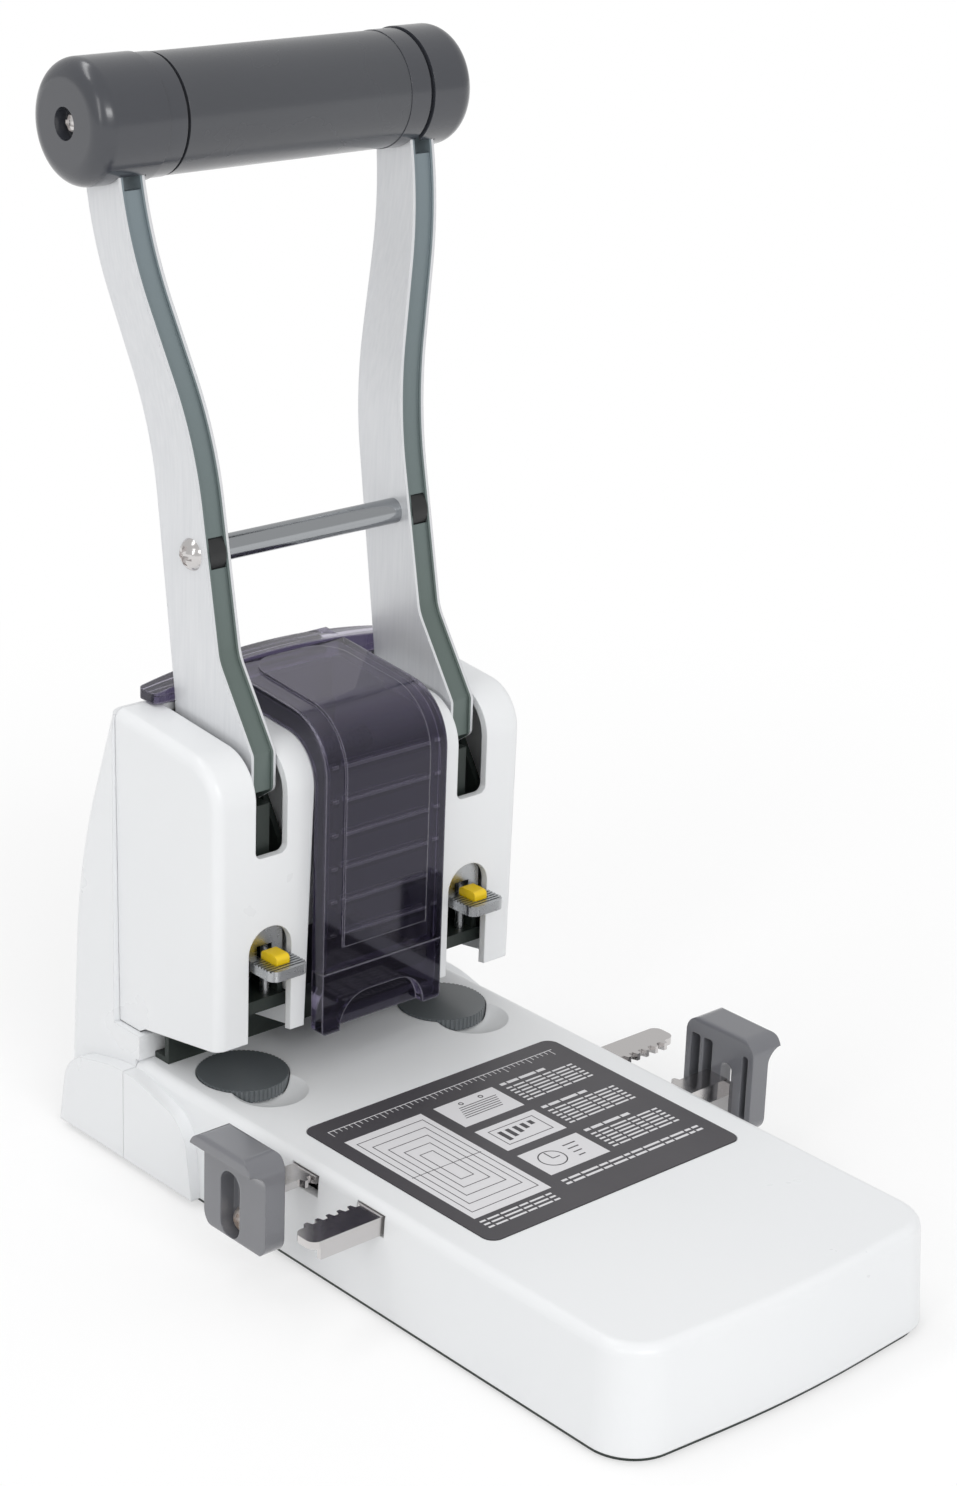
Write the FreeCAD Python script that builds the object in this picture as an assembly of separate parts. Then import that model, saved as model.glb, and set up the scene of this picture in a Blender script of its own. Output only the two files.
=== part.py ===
import FreeCAD, Part
import math
import os

# Heavy-duty two-hole punch: a wide moulded base, two column covers and a long
# lever with a bar grip. Millimetres, +Z up, X across, -Y towards the user.
# The pieces are drawn with y = 0 on the columns' front plane and moved at the
# end, so that the origin lies under the middle of the whole machine.

# Driving sizes: the spacing of the holes, and the base in front of and behind
# the columns' front plane
HOLE_SPACING = 80.0
TOWER_SETBACK = 188.7
REAR_DEPTH = 78.7
BASE_SIDE_MARGIN = 23.7
BASE_DRAFT = 1.7
BASE_TOP_Z = 35.5
COLUMN_X = HOLE_SPACING / 2
BASE_LENGTH = TOWER_SETBACK + REAR_DEPTH
BASE_HALF_WIDTH = COLUMN_X + BASE_SIDE_MARGIN
BASE_TOP_HALF_WIDTH = BASE_HALF_WIDTH - BASE_DRAFT

# Walls, clearances and screws
SHELL_BOTTOM_Z = 2.5
WALL = 2.6
SKIN = 2.2
SEAM = 0.2
RUN = 0.3
PIN_RUN = 0.05
OVERRUN = 20.0
SCREW_RADIUS = 1.5
SCREW_HEAD_RADIUS = 2.8
SCREW_HEAD_HEIGHT = 1.8

# Base cover
FRONT_BOW = 4.5
FRONT_BOW_RADIUS = 400.0
FRONT_CORNER_RADIUS = 15.0
BASE_EDGE_RADIUS = 3.5
COVER_SPLIT_Y = 39.0
EAR_PROUD = 3.3
EAR_DEPTH = 9.0
EAR_FRONT_Y = 3.5
EAR_REAR_INSET = 5.2
EAR_REAR_Y = REAR_DEPTH - EAR_REAR_INSET
EAR_CROWN_DROP = 1.2
EAR_SHOULDER_DROP = 8.5
EAR_SHOULDER_INSET = 4.0
EAR_CROWN_Y = (EAR_FRONT_Y + EAR_REAR_Y) / 2
EAR_CORNER_RADIUS = 14.0
EAR_CROWN_RADIUS = 50.0

# Bottom plate and feet
PLATE_BOTTOM_Z = 0.6
PLATE_INSET = 1.2
FOOT_RADIUS = 9.0
FOOT_HEIGHT = 1.6
FOOT_INSET_X = 16.0
FOOT_INSET_Y = 18.0

# Rear shell
REAR_TOP_Z = 147.0
REAR_TOP_Y = 55.0
REAR_KNEE_INSET = 5.2
REAR_KNEE_Y = REAR_DEPTH - REAR_KNEE_INSET
REAR_KNEE_Z = 92.0
REAR_KNEE_RADIUS = 200.0
REAR_CORNER_RADIUS = 7.0
THROAT_REAR_Y = 37.2
LEDGE_RISE = 8.5
LEDGE_Z = BASE_TOP_Z + LEDGE_RISE

# Column covers
TOWER_SIDE_INSET = 1.0
TOWER_FOOT_TAPER = 1.3
TOWER_INNER_REACH = 16.8
TOWER_INNER_TAPER = 3.5
TOWER_OUTER_X = BASE_TOP_HALF_WIDTH - TOWER_SIDE_INSET
TOWER_FOOT_OUTER_X = TOWER_OUTER_X - TOWER_FOOT_TAPER
TOWER_INNER_X = COLUMN_X - TOWER_INNER_REACH
TOWER_FOOT_INNER_X = TOWER_INNER_X + TOWER_INNER_TAPER
TOWER_TOP_X_Z = 150.0
TOWER_FRONT_GAP = 16.5
TOWER_TOE_RISE = 2.0
TOWER_FRONT_BOTTOM_Z = BASE_TOP_Z + TOWER_FRONT_GAP
TOWER_REAR_BOTTOM_Z = LEDGE_Z + RUN
TOWER_HEEL_Y = 40.0
TOWER_TOE_Y = 37.0
TOWER_TOE_Z = LEDGE_Z + TOWER_TOE_RISE
TOWER_REAR_Y = 50.5
TOWER_REAR_TOP_Z = 148.6
TOWER_FRONT_TOP_Z = 143.5
TOWER_FRONT_RADIUS = 15.0
TOWER_EDGE_RADIUS = 3.5
LEVER_SLOT_HALF = 6.0
LEVER_SLOT_BOTTOM_Z = 112.1
LEVER_SLOT_REAR_Y = 46.3
LEVER_SLOT_CORNER = 2.5
TAB_SLOT_HALF = 8.2
TAB_SLOT_TOP_Z = 89.0

# Steel frame
PLATE_THICKNESS = 2.0
FRAME_INNER_REACH = 10.5
FRAME_OUTER_REACH = 8.6
FRAME_INNER_X = COLUMN_X - FRAME_INNER_REACH
FRAME_OUTER_X = COLUMN_X + FRAME_OUTER_REACH
FRAME_LEG_FRONT_Y = 41.0
FRAME_REAR_Y = 49.0
FRAME_FRONT_Y = 7.0
FRAME_TOP_Z = 138.0
FRAME_TOP_FRONT_Y = 24.0
FRAME_SHOULDER_Z = 112.0
FRAME_CORNER = 6.0
FRAME_FOOT_LENGTH = 8.0
DECK_LIFT = 5.8
DECK_THICKNESS = 4.2
DECK_BOTTOM_Z = TOWER_FRONT_BOTTOM_Z + DECK_LIFT
DECK_TOP_Z = DECK_BOTTOM_Z + DECK_THICKNESS
DECK_FRONT_Y = 6.0
DECK_END_INSET = 2.7
DECK_HALF_WIDTH = TOWER_FOOT_OUTER_X - DECK_END_INSET

# Lever pivot and arms
PIVOT_Y = 35.0
PIVOT_Z = 125.0
SHAFT_RADIUS = 4.0
SHAFT_END_INSET = 7.0
SHAFT_HALF_LENGTH = TOWER_OUTER_X - SHAFT_END_INSET
SHAFT_RING_WIDTH = 1.2
SHAFT_RING_RADIUS = 6.0
BUSH_RADIUS = 7.0
BUSH_RUN = 0.12
ARM_OFFSET = 0.6
ARM_X = COLUMN_X - ARM_OFFSET
ARM_HALF_WIDTH = 4.6
ARM_WALL = 1.6
ARM_JOGGLE = 15.4
ARM_TOP_X = ARM_X + ARM_JOGGLE
ARM_BEND_DROP = 32.7
ARM_BEND_HEIGHT = 59.3
ARM_BEND_RADIUS = 150.0
ARM_FRONT_Y = 5.0
ARM_FRONT_CUT_Z = 131.0
ARM_FRONT_KNEE_Z = 143.3
ARM_BROW_Y = 22.0
ARM_BROW_Z = 168.5
ARM_BROW_RADIUS = 14.0
ARM_HEEL_Y = 28.0
ARM_HEEL_Z = 115.0
ARM_BACK_Y = 42.7
ARM_BACK_KNEE_Z = 150.0
ARM_BACK_RADIUS = 60.0
ARM_TOP_HALF_DEPTH = 7.9
ARM_WEB_RECESS = 0.8
ARM_CORNER = 3.0
ARM_HEEL_RADIUS = 9.0
DRIVE_PIN_RADIUS = 3.0
DRIVE_ARM = 25.0
DRIVE_REST_DEG = 25.0

# Crossbar between the arms
BAR_Y = 35.0
BAR_Z = 198.5
BAR_RADIUS = 4.0
BAR_SPACER_RADIUS = 7.5
BAR_SCREW_RADIUS = 2.5
BAR_SCREW_REACH = 12.0
BAR_HEAD_RADIUS = 5.0
BAR_HEAD_HEIGHT = 3.0

# Grip
GRIP_Y = 60.2
GRIP_Z = 324.7
CAP_RADIUS = 18.5
RING_STEP = 0.5
SLEEVE_STEP = 0.7
GROOVE_DEPTH = 2.1
GROOVE_WIDTH = 1.2
CAP_LENGTH = 15.5
LEFT_CAP_LAP = 8.3
LEFT_RING_LENGTH = 7.7
RIGHT_CAP_LAP = 1.7
RIGHT_RING_LENGTH = 8.8
CAP_EDGE_RADIUS = 6.0
CORE_RADIUS = 6.0
GRIP_SCREW_RADIUS = 2.0
GRIP_SCREW_HEAD_RADIUS = 3.8
GRIP_SCREW_HEAD_HEIGHT = 2.6
GRIP_SCREW_HOLE_RADIUS = 4.8
GRIP_SCREW_RECESS = 1.4
GRIP_SCREW_BITE = 12.2
RING_RADIUS = CAP_RADIUS - RING_STEP
SLEEVE_RADIUS = CAP_RADIUS - SLEEVE_STEP
GROOVE_RADIUS = CAP_RADIUS - GROOVE_DEPTH
GRIP_HALF_LENGTH = ARM_TOP_X + CAP_LENGTH
LEFT_CAP_INNER_X = ARM_TOP_X - LEFT_CAP_LAP
LEFT_RING_INNER_X = LEFT_CAP_INNER_X - LEFT_RING_LENGTH
RIGHT_CAP_INNER_X = ARM_TOP_X - RIGHT_CAP_LAP
RIGHT_RING_INNER_X = RIGHT_CAP_INNER_X - RIGHT_RING_LENGTH
GRIP_SCREW_REACH = ARM_TOP_X - ARM_HALF_WIDTH - GRIP_SCREW_BITE
ARM_BEND_HIGH_Z = GRIP_Z - ARM_BEND_DROP
ARM_BEND_LOW_Z = ARM_BEND_HIGH_Z - ARM_BEND_HEIGHT

# Cutters, carriages and release tabs
CUTTER_Y = 18.0
CUTTER_RADIUS = 3.0
CUTTER_BORE = 2.2
CUTTER_TIP_SHOW = 0.4
CUTTER_TIP_Z = DECK_BOTTOM_Z - CUTTER_TIP_SHOW
CUTTER_BEVEL = 1.2
FOOT_BLOCK_HALF = 7.5
FOOT_BLOCK_FRONT_Y = 5.0
FOOT_BLOCK_REAR_Y = 26.0
FOOT_BLOCK_BOTTOM_Z = 90.0
FOOT_BLOCK_TOP_Z = 98.0
YOKE_HALF = 2.4
YOKE_FRONT_Y = 5.0
YOKE_LIP_REACH = 2.7
YOKE_LIP_THICKNESS = 0.4
YOKE_LIP_DROP = 3.4
YOKE_SPINE_SETBACK = 1.3
YOKE_SHOULDER_DROP = 8.6
YOKE_REAR_Y = 22.0
YOKE_TOP_Z = 141.2
YOKE_SLOT_REAR_Y = 15.9
YOKE_SLOT_RUN = 0.35
CHIP_WINDOW_TOP_Z = 108.0
GUIDE_ROD_RADIUS = 1.5
GUIDE_ROD_OFFSET = 5.4
GUIDE_ROD_Y = 9.5
GUIDE_ROD_TOP_Z = 101.0
SPRING_RADIUS = 5.6
SPRING_WALL = 1.3
SPRING_GAP = 0.4
TAB_HALF = 7.0
TAB_FRONT_Y = -10.5
TAB_TOP_Z = 79.0
TAB_THICKNESS = 3.4
TAB_CORNER = 3.0
TAB_REAR_Y = 4.6
HOLDER_THICKNESS = 1.6
TAB_CUT_HALF = 2.9
TAB_CUT_FRONT_Y = -6.8
TAB_CUT_CORNER = 0.6
RIDGE_PITCH = 1.4
RIDGE_DEPTH = 0.5
RIDGE_WIDTH = 0.6
RIDGE_COUNT = 7
LATCH_HALF = 2.5
LATCH_FRONT_Y = -6.4
LATCH_REAR_Y = 1.4
LATCH_RISE = 2.6
LATCH_TOP_Z = TAB_TOP_Z + LATCH_RISE
LATCH_KEEPER_HALF = 4.4
LATCH_KEEPER_THICKNESS = 1.2

# Paper rest at the back of the throat
STOP_BAR_Y = 30.0
STOP_BAR_THICKNESS = 2.0
STOP_BAR_END_INSET = 1.0
STOP_BAR_HALF_LENGTH = DECK_HALF_WIDTH - STOP_BAR_END_INSET
STOP_BAR_HEIGHT = 9.0

# Cutting discs with their pockets and finger scoops
DISC_OFFSET = 0.9
DISC_X = COLUMN_X + DISC_OFFSET
DISC_Y = 11.8
DISC_RADIUS = 14.4
DISC_PROUD = 0.5
DISC_TOP_Z = BASE_TOP_Z + DISC_PROUD
DISC_THICKNESS = 4.0
DISC_KNURL_COUNT = 60
DISC_KNURL_RADIUS = 0.35
DISC_HUB_RADIUS = 2.5
SCOOP_OFFSET = 1.5
SCOOP_X = COLUMN_X + SCOOP_OFFSET
SCOOP_Y = -2.5
SCOOP_RADIUS = 12.0
SCOOP_DEPTH = 4.5
SEAT_BLOCK_DEPTH = 6.9
SEAT_BLOCK_BOTTOM_Z = BASE_TOP_Z - SEAT_BLOCK_DEPTH
SEAT_BLOCK_HALF = 19.0
SEAT_BLOCK_FRONT_Y = -18.0
SEAT_BLOCK_REAR_Y = 29.0

# Side guides: two racks, a pinion and two stops
TOOTH_PITCH = 4.0
TOOTH_DEPTH = 1.8
TOOTH_CREST_SHARE = 0.30
TOOTH_ROOT_SHARE = 0.62
PINION_TEETH = 16
PINION_Y = -60.8
RULE_WIDTH = 9.0
RULE_DROP = 2.5
RULE_TOP_Z = BASE_TOP_Z - RULE_DROP
RULE_THICKNESS = 2.4
FLANGE_HEIGHT = 6.0
FLANGE_THICKNESS = 1.6
RULE_FAR_REACH = 24.3
RULE_FAR_X = BASE_HALF_WIDTH + RULE_FAR_REACH
RULE_END_RADIUS = 3.0
MESH_RUN = 0.35
STOP_REACH = 15.8
STOP_INNER_X = BASE_HALF_WIDTH + STOP_REACH
STOP_PLATE = 7.0
STOP_LIP_REACH = 12.5
STOP_LIP_X = STOP_INNER_X + STOP_LIP_REACH
STOP_BOTTOM_Z = 16.0
STOP_TOP_Z = 48.8
STOP_LIP_HEIGHT = 4.0
STOP_LENGTH = 29.2
STOP_CORNER = 5.5
STOP_SLOT_WIDTH = 9.0
STOP_SLOT_HEIGHT = 21.5
STOP_SLOT_BOTTOM_Z = 16.8
STOP_WEB = 2.0
STOP_WALL = 2.2
STOP_HOLLOW_DEPTH = 4.6
STOP_RIB_WIDTH = 1.5
STOP_SEE_WIDTH = 4.4
STOP_HOLLOW_PITCH = 4.2
STOP_HOLLOW_CORNER = 1.0
LEFT_STOP_SLOT_INSET = 12.4641
RIGHT_STOP_SLOT_INSET = 11.0641
STOP_SCREW_Z = 21.0
STOP_SCREW_HEAD_RADIUS = 4.0
STOP_SCREW_HEAD_HEIGHT = 2.6
RIB_RADIUS = 1.4
END_TAB_HALF = 6.5
END_TAB_BOTTOM_Z = 16.8
GUIDE_RAIL_INSET = 14.0
GUIDE_RAIL_X = BASE_TOP_HALF_WIDTH - GUIDE_RAIL_INSET
GUIDE_RAIL_LENGTH = 12.0
PINION_THICKNESS = 4.4
PINION_POST_RADIUS = 2.5

# Label panel on the base
LABEL_SIDE_INSET = 13.0
LABEL_HALF_WIDTH = BASE_HALF_WIDTH - LABEL_SIDE_INSET
LABEL_FRONT_Y = -115.1
LABEL_REAR_Y = -29.7
LABEL_CORNER = 4.0
LABEL_THICKNESS = 0.9
LABEL_RECESS = 0.7

# Smoked cover in the middle
SMOKED_OVERLAP = 0.8
SMOKED_HALF_WIDTH = TOWER_INNER_X + SMOKED_OVERLAP
SMOKED_FRONT = 6.0
SMOKED_RISE = 8.0
SMOKED_RADIUS = 19.0
SMOKED_WALL = 2.2
SMOKED_GAP = 0.5
SMOKED_BOTTOM_Z = 49.5
LIP_SEAM_Z = 70.0
SCOOP_ARCH_INSET = 7.0
SCOOP_ARCH_HALF = SMOKED_HALF_WIDTH - SCOOP_ARCH_INSET
SCOOP_ARCH_TOP_Z = 60.7
SCOOP_ARCH_DEPTH = 3.4
PANEL_INSET = 7.4
PANEL_HALF_WIDTH = SMOKED_HALF_WIDTH - PANEL_INSET
PANEL_PROUD = 0.8
PANEL_BOTTOM_Z = 78.0
PANEL_REAR_Y = 43.5
PANEL_REAR_RADIUS = 10.0
BAND_FRONT_Y = 45.2
BAND_REAR_Y = 54.0
BAND_END_INSET = 11.0
BAND_HALF_LENGTH = TOWER_OUTER_X - BAND_END_INSET
BAND_BOTTOM_Z = 149.2
BAND_MIDDLE_Z = 157.4
BAND_END_Z = 152.4
BAND_EDGE_RADIUS = 2.0
HINGE_Y = 54.6
HINGE_Z = 149.2
HINGE_RADIUS = 2.6
HINGE_PIN_RADIUS = 1.2
HINGE_BARREL_HALF = 12.0
HINGE_LUG_END_X = 20.0
RIB_PITCH = 11.0
COVER_RIB_DEPTH = 1.6
COVER_RIB_HEIGHT = 1.2
COVER_RIB_COUNT = 6
COVER_RIB_FIRST_Z = 82.0

SHIFT_Y = TOWER_SETBACK - BASE_LENGTH / 2


def vec(x, y, z):
    return FreeCAD.Vector(x, y, z)


def on_plane(plane, u, v, offset):
    if plane == "XY":
        return vec(u, v, offset)
    if plane == "XZ":
        return vec(u, offset, v)
    return vec(offset, u, v)


def rounded_wire(plane, points, radii, offset):
    """A closed outline: a polygon with tangent arcs of the given corner radii."""
    edges = []
    starts = []
    count = len(points)
    for i in range(count):
        here = on_plane(plane, points[i][0], points[i][1], offset)
        before = on_plane(plane, points[i - 1][0], points[i - 1][1], offset)
        after = on_plane(plane, points[(i + 1) % count][0], points[(i + 1) % count][1], offset)
        back = (before - here).normalize()
        on = (after - here).normalize()
        radius = radii[i]
        if radius == 0:
            starts.append((here, here, None))
            continue
        half = back.getAngle(on) / 2
        reach = radius / math.tan(half)
        middle = (back + on).normalize()
        centre = here + middle * (radius / math.sin(half))
        starts.append((here + back * reach, here + on * reach, centre - middle * radius))
    for i in range(count):
        first, last, mid = starts[i]
        if mid is not None:
            edges.append(Part.Arc(first, mid, last).toShape())
        following = starts[(i + 1) % count][0]
        if last.distanceToPoint(following) > PIN_RUN / 100:
            edges.append(Part.LineSegment(last, following).toShape())
    return Part.Wire(edges)


def prism(plane, points, radii, start, end):
    """The rounded outline drawn on a plane and pulled from start to end."""
    if not isinstance(radii, (list, tuple)):
        radii = [radii] * len(points)
    face = Part.Face(rounded_wire(plane, points, radii, start))
    pull = {"XY": vec(0, 0, 1), "XZ": vec(0, 1, 0), "YZ": vec(1, 0, 0)}[plane]
    return face.extrude(pull * (end - start))


def block(x0, x1, y0, y1, z0, z1):
    corner = vec(min(x0, x1), min(y0, y1), min(z0, z1))
    return Part.makeBox(abs(x1 - x0), abs(y1 - y0), abs(z1 - z0), corner)


def rectangle(u0, u1, v0, v1):
    return [(u0, v0), (u1, v0), (u1, v1), (u0, v1)]


def rod_x(radius, x0, x1, y, z):
    return Part.makeCylinder(radius, x1 - x0, vec(x0, y, z), vec(1, 0, 0))


def rod_z(radius, z0, z1, x, y):
    return Part.makeCylinder(radius, z1 - z0, vec(x, y, z0), vec(0, 0, 1))


def mirrored(shape):
    return shape.mirror(vec(0, 0, 0), vec(1, 0, 0))


def both(shape):
    return [shape, mirrored(shape)]


def save(name, shape):
    if isinstance(shape, (list, tuple)):
        shape = Part.makeCompound(list(shape))
    shape = shape.copy()
    shape.translate(vec(0, SHIFT_Y, 0))
    shape.exportStep("parts/" + name + ".step")
    print(name, len(shape.Solids), round(shape.Volume), shape.isValid())


# Base cover

def base_plan(half_width, inset, z):
    """Plan outline of the base: bowed front edge, rounded front corners."""
    tilt = math.atan(FRONT_BOW / half_width)
    lift = FRONT_BOW_RADIUS * (1 / math.cos(tilt) - 1)
    nose = -TOWER_SETBACK + inset - lift
    corner = nose + FRONT_BOW
    rear = COVER_SPLIT_Y - SEAM / 2
    points = [(half_width, rear), (-half_width, rear), (-half_width, corner), (0, nose),
              (half_width, corner)]
    radii = [0, 0, FRONT_CORNER_RADIUS, FRONT_BOW_RADIUS, FRONT_CORNER_RADIUS]
    return rounded_wire("XY", points, radii, z)


def ear(y0, y1):
    """One half of the arched boss that stands proud of the base's rear sides."""
    shoulder = BASE_TOP_Z - EAR_SHOULDER_DROP
    points = [(EAR_FRONT_Y, SHELL_BOTTOM_Z), (EAR_REAR_Y, SHELL_BOTTOM_Z),
              (EAR_REAR_Y - EAR_SHOULDER_INSET, shoulder), (EAR_CROWN_Y, BASE_TOP_Z - EAR_CROWN_DROP),
              (EAR_FRONT_Y + EAR_SHOULDER_INSET, shoulder)]
    radii = [0, 0, EAR_CORNER_RADIUS, EAR_CROWN_RADIUS, EAR_CORNER_RADIUS]
    outer = BASE_HALF_WIDTH + EAR_PROUD
    arch = prism("YZ", points, radii, outer - EAR_DEPTH, outer)
    return arch.common(block(0, 2 * outer, y0, y1, 0, BASE_TOP_Z))


def rule_slot(rear):
    """Side opening that one guide rule runs through."""
    y0, y1 = rule_span(rear)
    return block(-2 * BASE_HALF_WIDTH, 2 * BASE_HALF_WIDTH, y0 - SEAM * 4, y1 + SEAM * 4,
                 RULE_TOP_Z - FLANGE_HEIGHT - RUN * 2, BASE_TOP_Z - SKIN)


def base_cover():
    outer = Part.makeLoft([base_plan(BASE_HALF_WIDTH, 0, SHELL_BOTTOM_Z),
                           base_plan(BASE_TOP_HALF_WIDTH, BASE_DRAFT, BASE_TOP_Z)], True, True)
    rim = [e for e in outer.Edges
           if e.BoundBox.ZMin > BASE_TOP_Z - SEAM and e.BoundBox.YMin < COVER_SPLIT_Y - WALL]
    outer = outer.makeFillet(BASE_EDGE_RADIUS, rim)
    hollow = Part.Face(base_plan(BASE_TOP_HALF_WIDTH - WALL, BASE_DRAFT + WALL, -SHELL_BOTTOM_Z))
    hollow = hollow.extrude(vec(0, 0, BASE_TOP_Z - SKIN + SHELL_BOTTOM_Z))
    hollow = hollow.fuse(block(-BASE_TOP_HALF_WIDTH + WALL, BASE_TOP_HALF_WIDTH - WALL, 0,
                               COVER_SPLIT_Y + OVERRUN, -SHELL_BOTTOM_Z, BASE_TOP_Z - SKIN))
    shell = outer.cut(hollow)
    front_ear = ear(0, COVER_SPLIT_Y - SEAM / 2)
    shell = shell.fuse(both(front_ear))
    seat = prism("XY", rectangle(DISC_X - SEAT_BLOCK_HALF, DISC_X + SEAT_BLOCK_HALF - SEAM,
                                 SEAT_BLOCK_FRONT_Y, SEAT_BLOCK_REAR_Y), 0,
                 SEAT_BLOCK_BOTTOM_Z, BASE_TOP_Z - SKIN / 2)
    seat = seat.common(block(0, BASE_TOP_HALF_WIDTH - WALL / 2, -BASE_LENGTH, BASE_LENGTH, 0, BASE_TOP_Z))
    shell = shell.fuse(both(seat))
    pocket_floor = DISC_TOP_Z - DISC_THICKNESS - RUN
    pocket = rod_z(DISC_RADIUS + RUN, pocket_floor, BASE_TOP_Z + OVERRUN, DISC_X, DISC_Y)
    ball_radius = (SCOOP_RADIUS ** 2 + SCOOP_DEPTH ** 2) / (2 * SCOOP_DEPTH)
    bowl = Part.makeSphere(ball_radius, vec(SCOOP_X, SCOOP_Y, BASE_TOP_Z - SCOOP_DEPTH + ball_radius))
    shell = shell.cut(both(pocket) + both(bowl))
    recess = prism("XY", rectangle(-LABEL_HALF_WIDTH - SEAM, LABEL_HALF_WIDTH + SEAM,
                                   LABEL_FRONT_Y - SEAM, LABEL_REAR_Y + SEAM), LABEL_CORNER,
                   BASE_TOP_Z - LABEL_RECESS, BASE_TOP_Z + OVERRUN)
    peg_hole = rod_z(DISC_HUB_RADIUS, 0, BASE_TOP_Z, DISC_X, DISC_Y)
    shell = shell.cut([recess, rule_slot(True), rule_slot(False)] + both(peg_hole))
    return shell


def seat_pins():
    """Short pegs in the pockets that the cutting discs turn on."""
    low = SEAT_BLOCK_BOTTOM_Z - SCREW_HEAD_HEIGHT
    head = rod_z(DISC_HUB_RADIUS + SCREW_RADIUS, low, SEAT_BLOCK_BOTTOM_Z, DISC_X, DISC_Y)
    peg = rod_z(DISC_HUB_RADIUS, low, DISC_TOP_Z - DISC_THICKNESS / 2, DISC_X, DISC_Y)
    return both(head.fuse(peg))


def plate_outline(inset, z):
    tilt = math.atan(FRONT_BOW / BASE_HALF_WIDTH)
    lift = FRONT_BOW_RADIUS * (1 / math.cos(tilt) - 1)
    half = BASE_HALF_WIDTH - inset
    nose = -TOWER_SETBACK + inset - lift
    rear = BASE_LENGTH - TOWER_SETBACK - inset - SEAM
    side = TOWER_OUTER_X - inset
    points = [(side, rear), (-side, rear), (-side, COVER_SPLIT_Y), (-half, COVER_SPLIT_Y),
              (-half, nose + FRONT_BOW), (0, nose), (half, nose + FRONT_BOW), (half, COVER_SPLIT_Y),
              (side, COVER_SPLIT_Y)]
    radii = [REAR_CORNER_RADIUS, REAR_CORNER_RADIUS, 0, 0, FRONT_CORNER_RADIUS, FRONT_BOW_RADIUS,
             FRONT_CORNER_RADIUS, 0, 0]
    return points, radii


def foot_places():
    x = BASE_HALF_WIDTH - FOOT_INSET_X
    front = -TOWER_SETBACK + FOOT_INSET_Y
    rear = BASE_LENGTH - TOWER_SETBACK - FOOT_INSET_Y
    return [(side * x, y) for y in (front, rear) for side in (-1, 1)]


def bottom_plate():
    points, radii = plate_outline(PLATE_INSET, PLATE_BOTTOM_Z)
    plate = prism("XY", points, radii, PLATE_BOTTOM_Z, SHELL_BOTTOM_Z)
    recesses = [rod_z(FOOT_RADIUS, -OVERRUN, FOOT_HEIGHT, x, y) for x, y in foot_places()]
    return plate.cut(recesses)


def rubber_feet():
    return [rod_z(FOOT_RADIUS - SEAM / 2, 0, FOOT_HEIGHT, x, y) for x, y in foot_places()]


# Rear shell

def rear_profile(inset):
    return [(REAR_TOP_Y - inset, REAR_TOP_Z - inset), (REAR_KNEE_Y - inset, REAR_KNEE_Z - inset),
            (BASE_LENGTH - TOWER_SETBACK - inset, SHELL_BOTTOM_Z)]


def rear_shell():
    split = COVER_SPLIT_Y + SEAM / 2
    step = BASE_TOP_Z + SEAM
    front = TOWER_REAR_Y + SEAM
    top, knee, toe = rear_profile(0)
    points = [(split, SHELL_BOTTOM_Z), (split, step), (THROAT_REAR_Y, step), (THROAT_REAR_Y, LEDGE_Z),
              (front, LEDGE_Z), (front, REAR_TOP_Z), top, knee, toe]
    radii = [0, 0, 0, 0, 0, 0, 0, REAR_KNEE_RADIUS, 0]
    body = prism("YZ", points, radii, -BASE_TOP_HALF_WIDTH, BASE_TOP_HALF_WIDTH)
    corners = [e for e in body.Edges
               if e.BoundBox.XLength < SEAM and e.BoundBox.YMax > REAR_TOP_Y - SEAM
               and e.BoundBox.YMin > REAR_TOP_Y - SEAM and e.BoundBox.ZLength > WALL]
    body = body.makeFillet(REAR_CORNER_RADIUS, corners)
    top_in, knee_in, toe_in = rear_profile(WALL)
    face = THROAT_REAR_Y + WALL
    inner = [(0, -SHELL_BOTTOM_Z), (0, BASE_TOP_Z - SKIN), (face, BASE_TOP_Z - SKIN),
             (face, REAR_TOP_Z - WALL), top_in, knee_in, (toe_in[0], -SHELL_BOTTOM_Z)]
    hollow = prism("YZ", inner, [0, 0, 0, 0, 0, REAR_KNEE_RADIUS, 0],
                   -BASE_TOP_HALF_WIDTH + WALL, BASE_TOP_HALF_WIDTH - WALL)
    rear_ear = ear(split, EAR_REAR_Y + OVERRUN).common(
        block(BASE_TOP_HALF_WIDTH - WALL, BASE_LENGTH, 0, BASE_LENGTH, 0, BASE_TOP_Z))
    shell = body.cut(hollow).fuse(both(rear_ear))
    lug = rod_x(HINGE_RADIUS, HINGE_BARREL_HALF + RUN, HINGE_LUG_END_X, HINGE_Y, HINGE_Z)
    neck = block(HINGE_BARREL_HALF + RUN, HINGE_LUG_END_X, HINGE_Y - HINGE_RADIUS, HINGE_Y + HINGE_RADIUS,
                 REAR_TOP_Z - WALL, HINGE_Z)
    neck_side = [(front, REAR_TOP_Z - WALL), (front, HINGE_Z), (HINGE_Y + HINGE_RADIUS, HINGE_Z),
                 (REAR_TOP_Y, REAR_TOP_Z - WALL)]
    neck = neck.common(prism("YZ", neck_side, 0, 0, BASE_LENGTH))
    trough = rod_x(HINGE_RADIUS + RUN, -HINGE_BARREL_HALF - RUN, HINGE_BARREL_HALF + RUN, HINGE_Y, HINGE_Z)
    shell = shell.cut(trough).fuse(both(lug.fuse(neck)))
    pin_end = HINGE_LUG_END_X + RUN
    return shell.cut(rod_x(HINGE_PIN_RADIUS, -pin_end, pin_end, HINGE_Y, HINGE_Z))


def hinge_pin():
    return rod_x(HINGE_PIN_RADIUS, -HINGE_LUG_END_X, HINGE_LUG_END_X, HINGE_Y, HINGE_Z)


# Column covers

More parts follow.
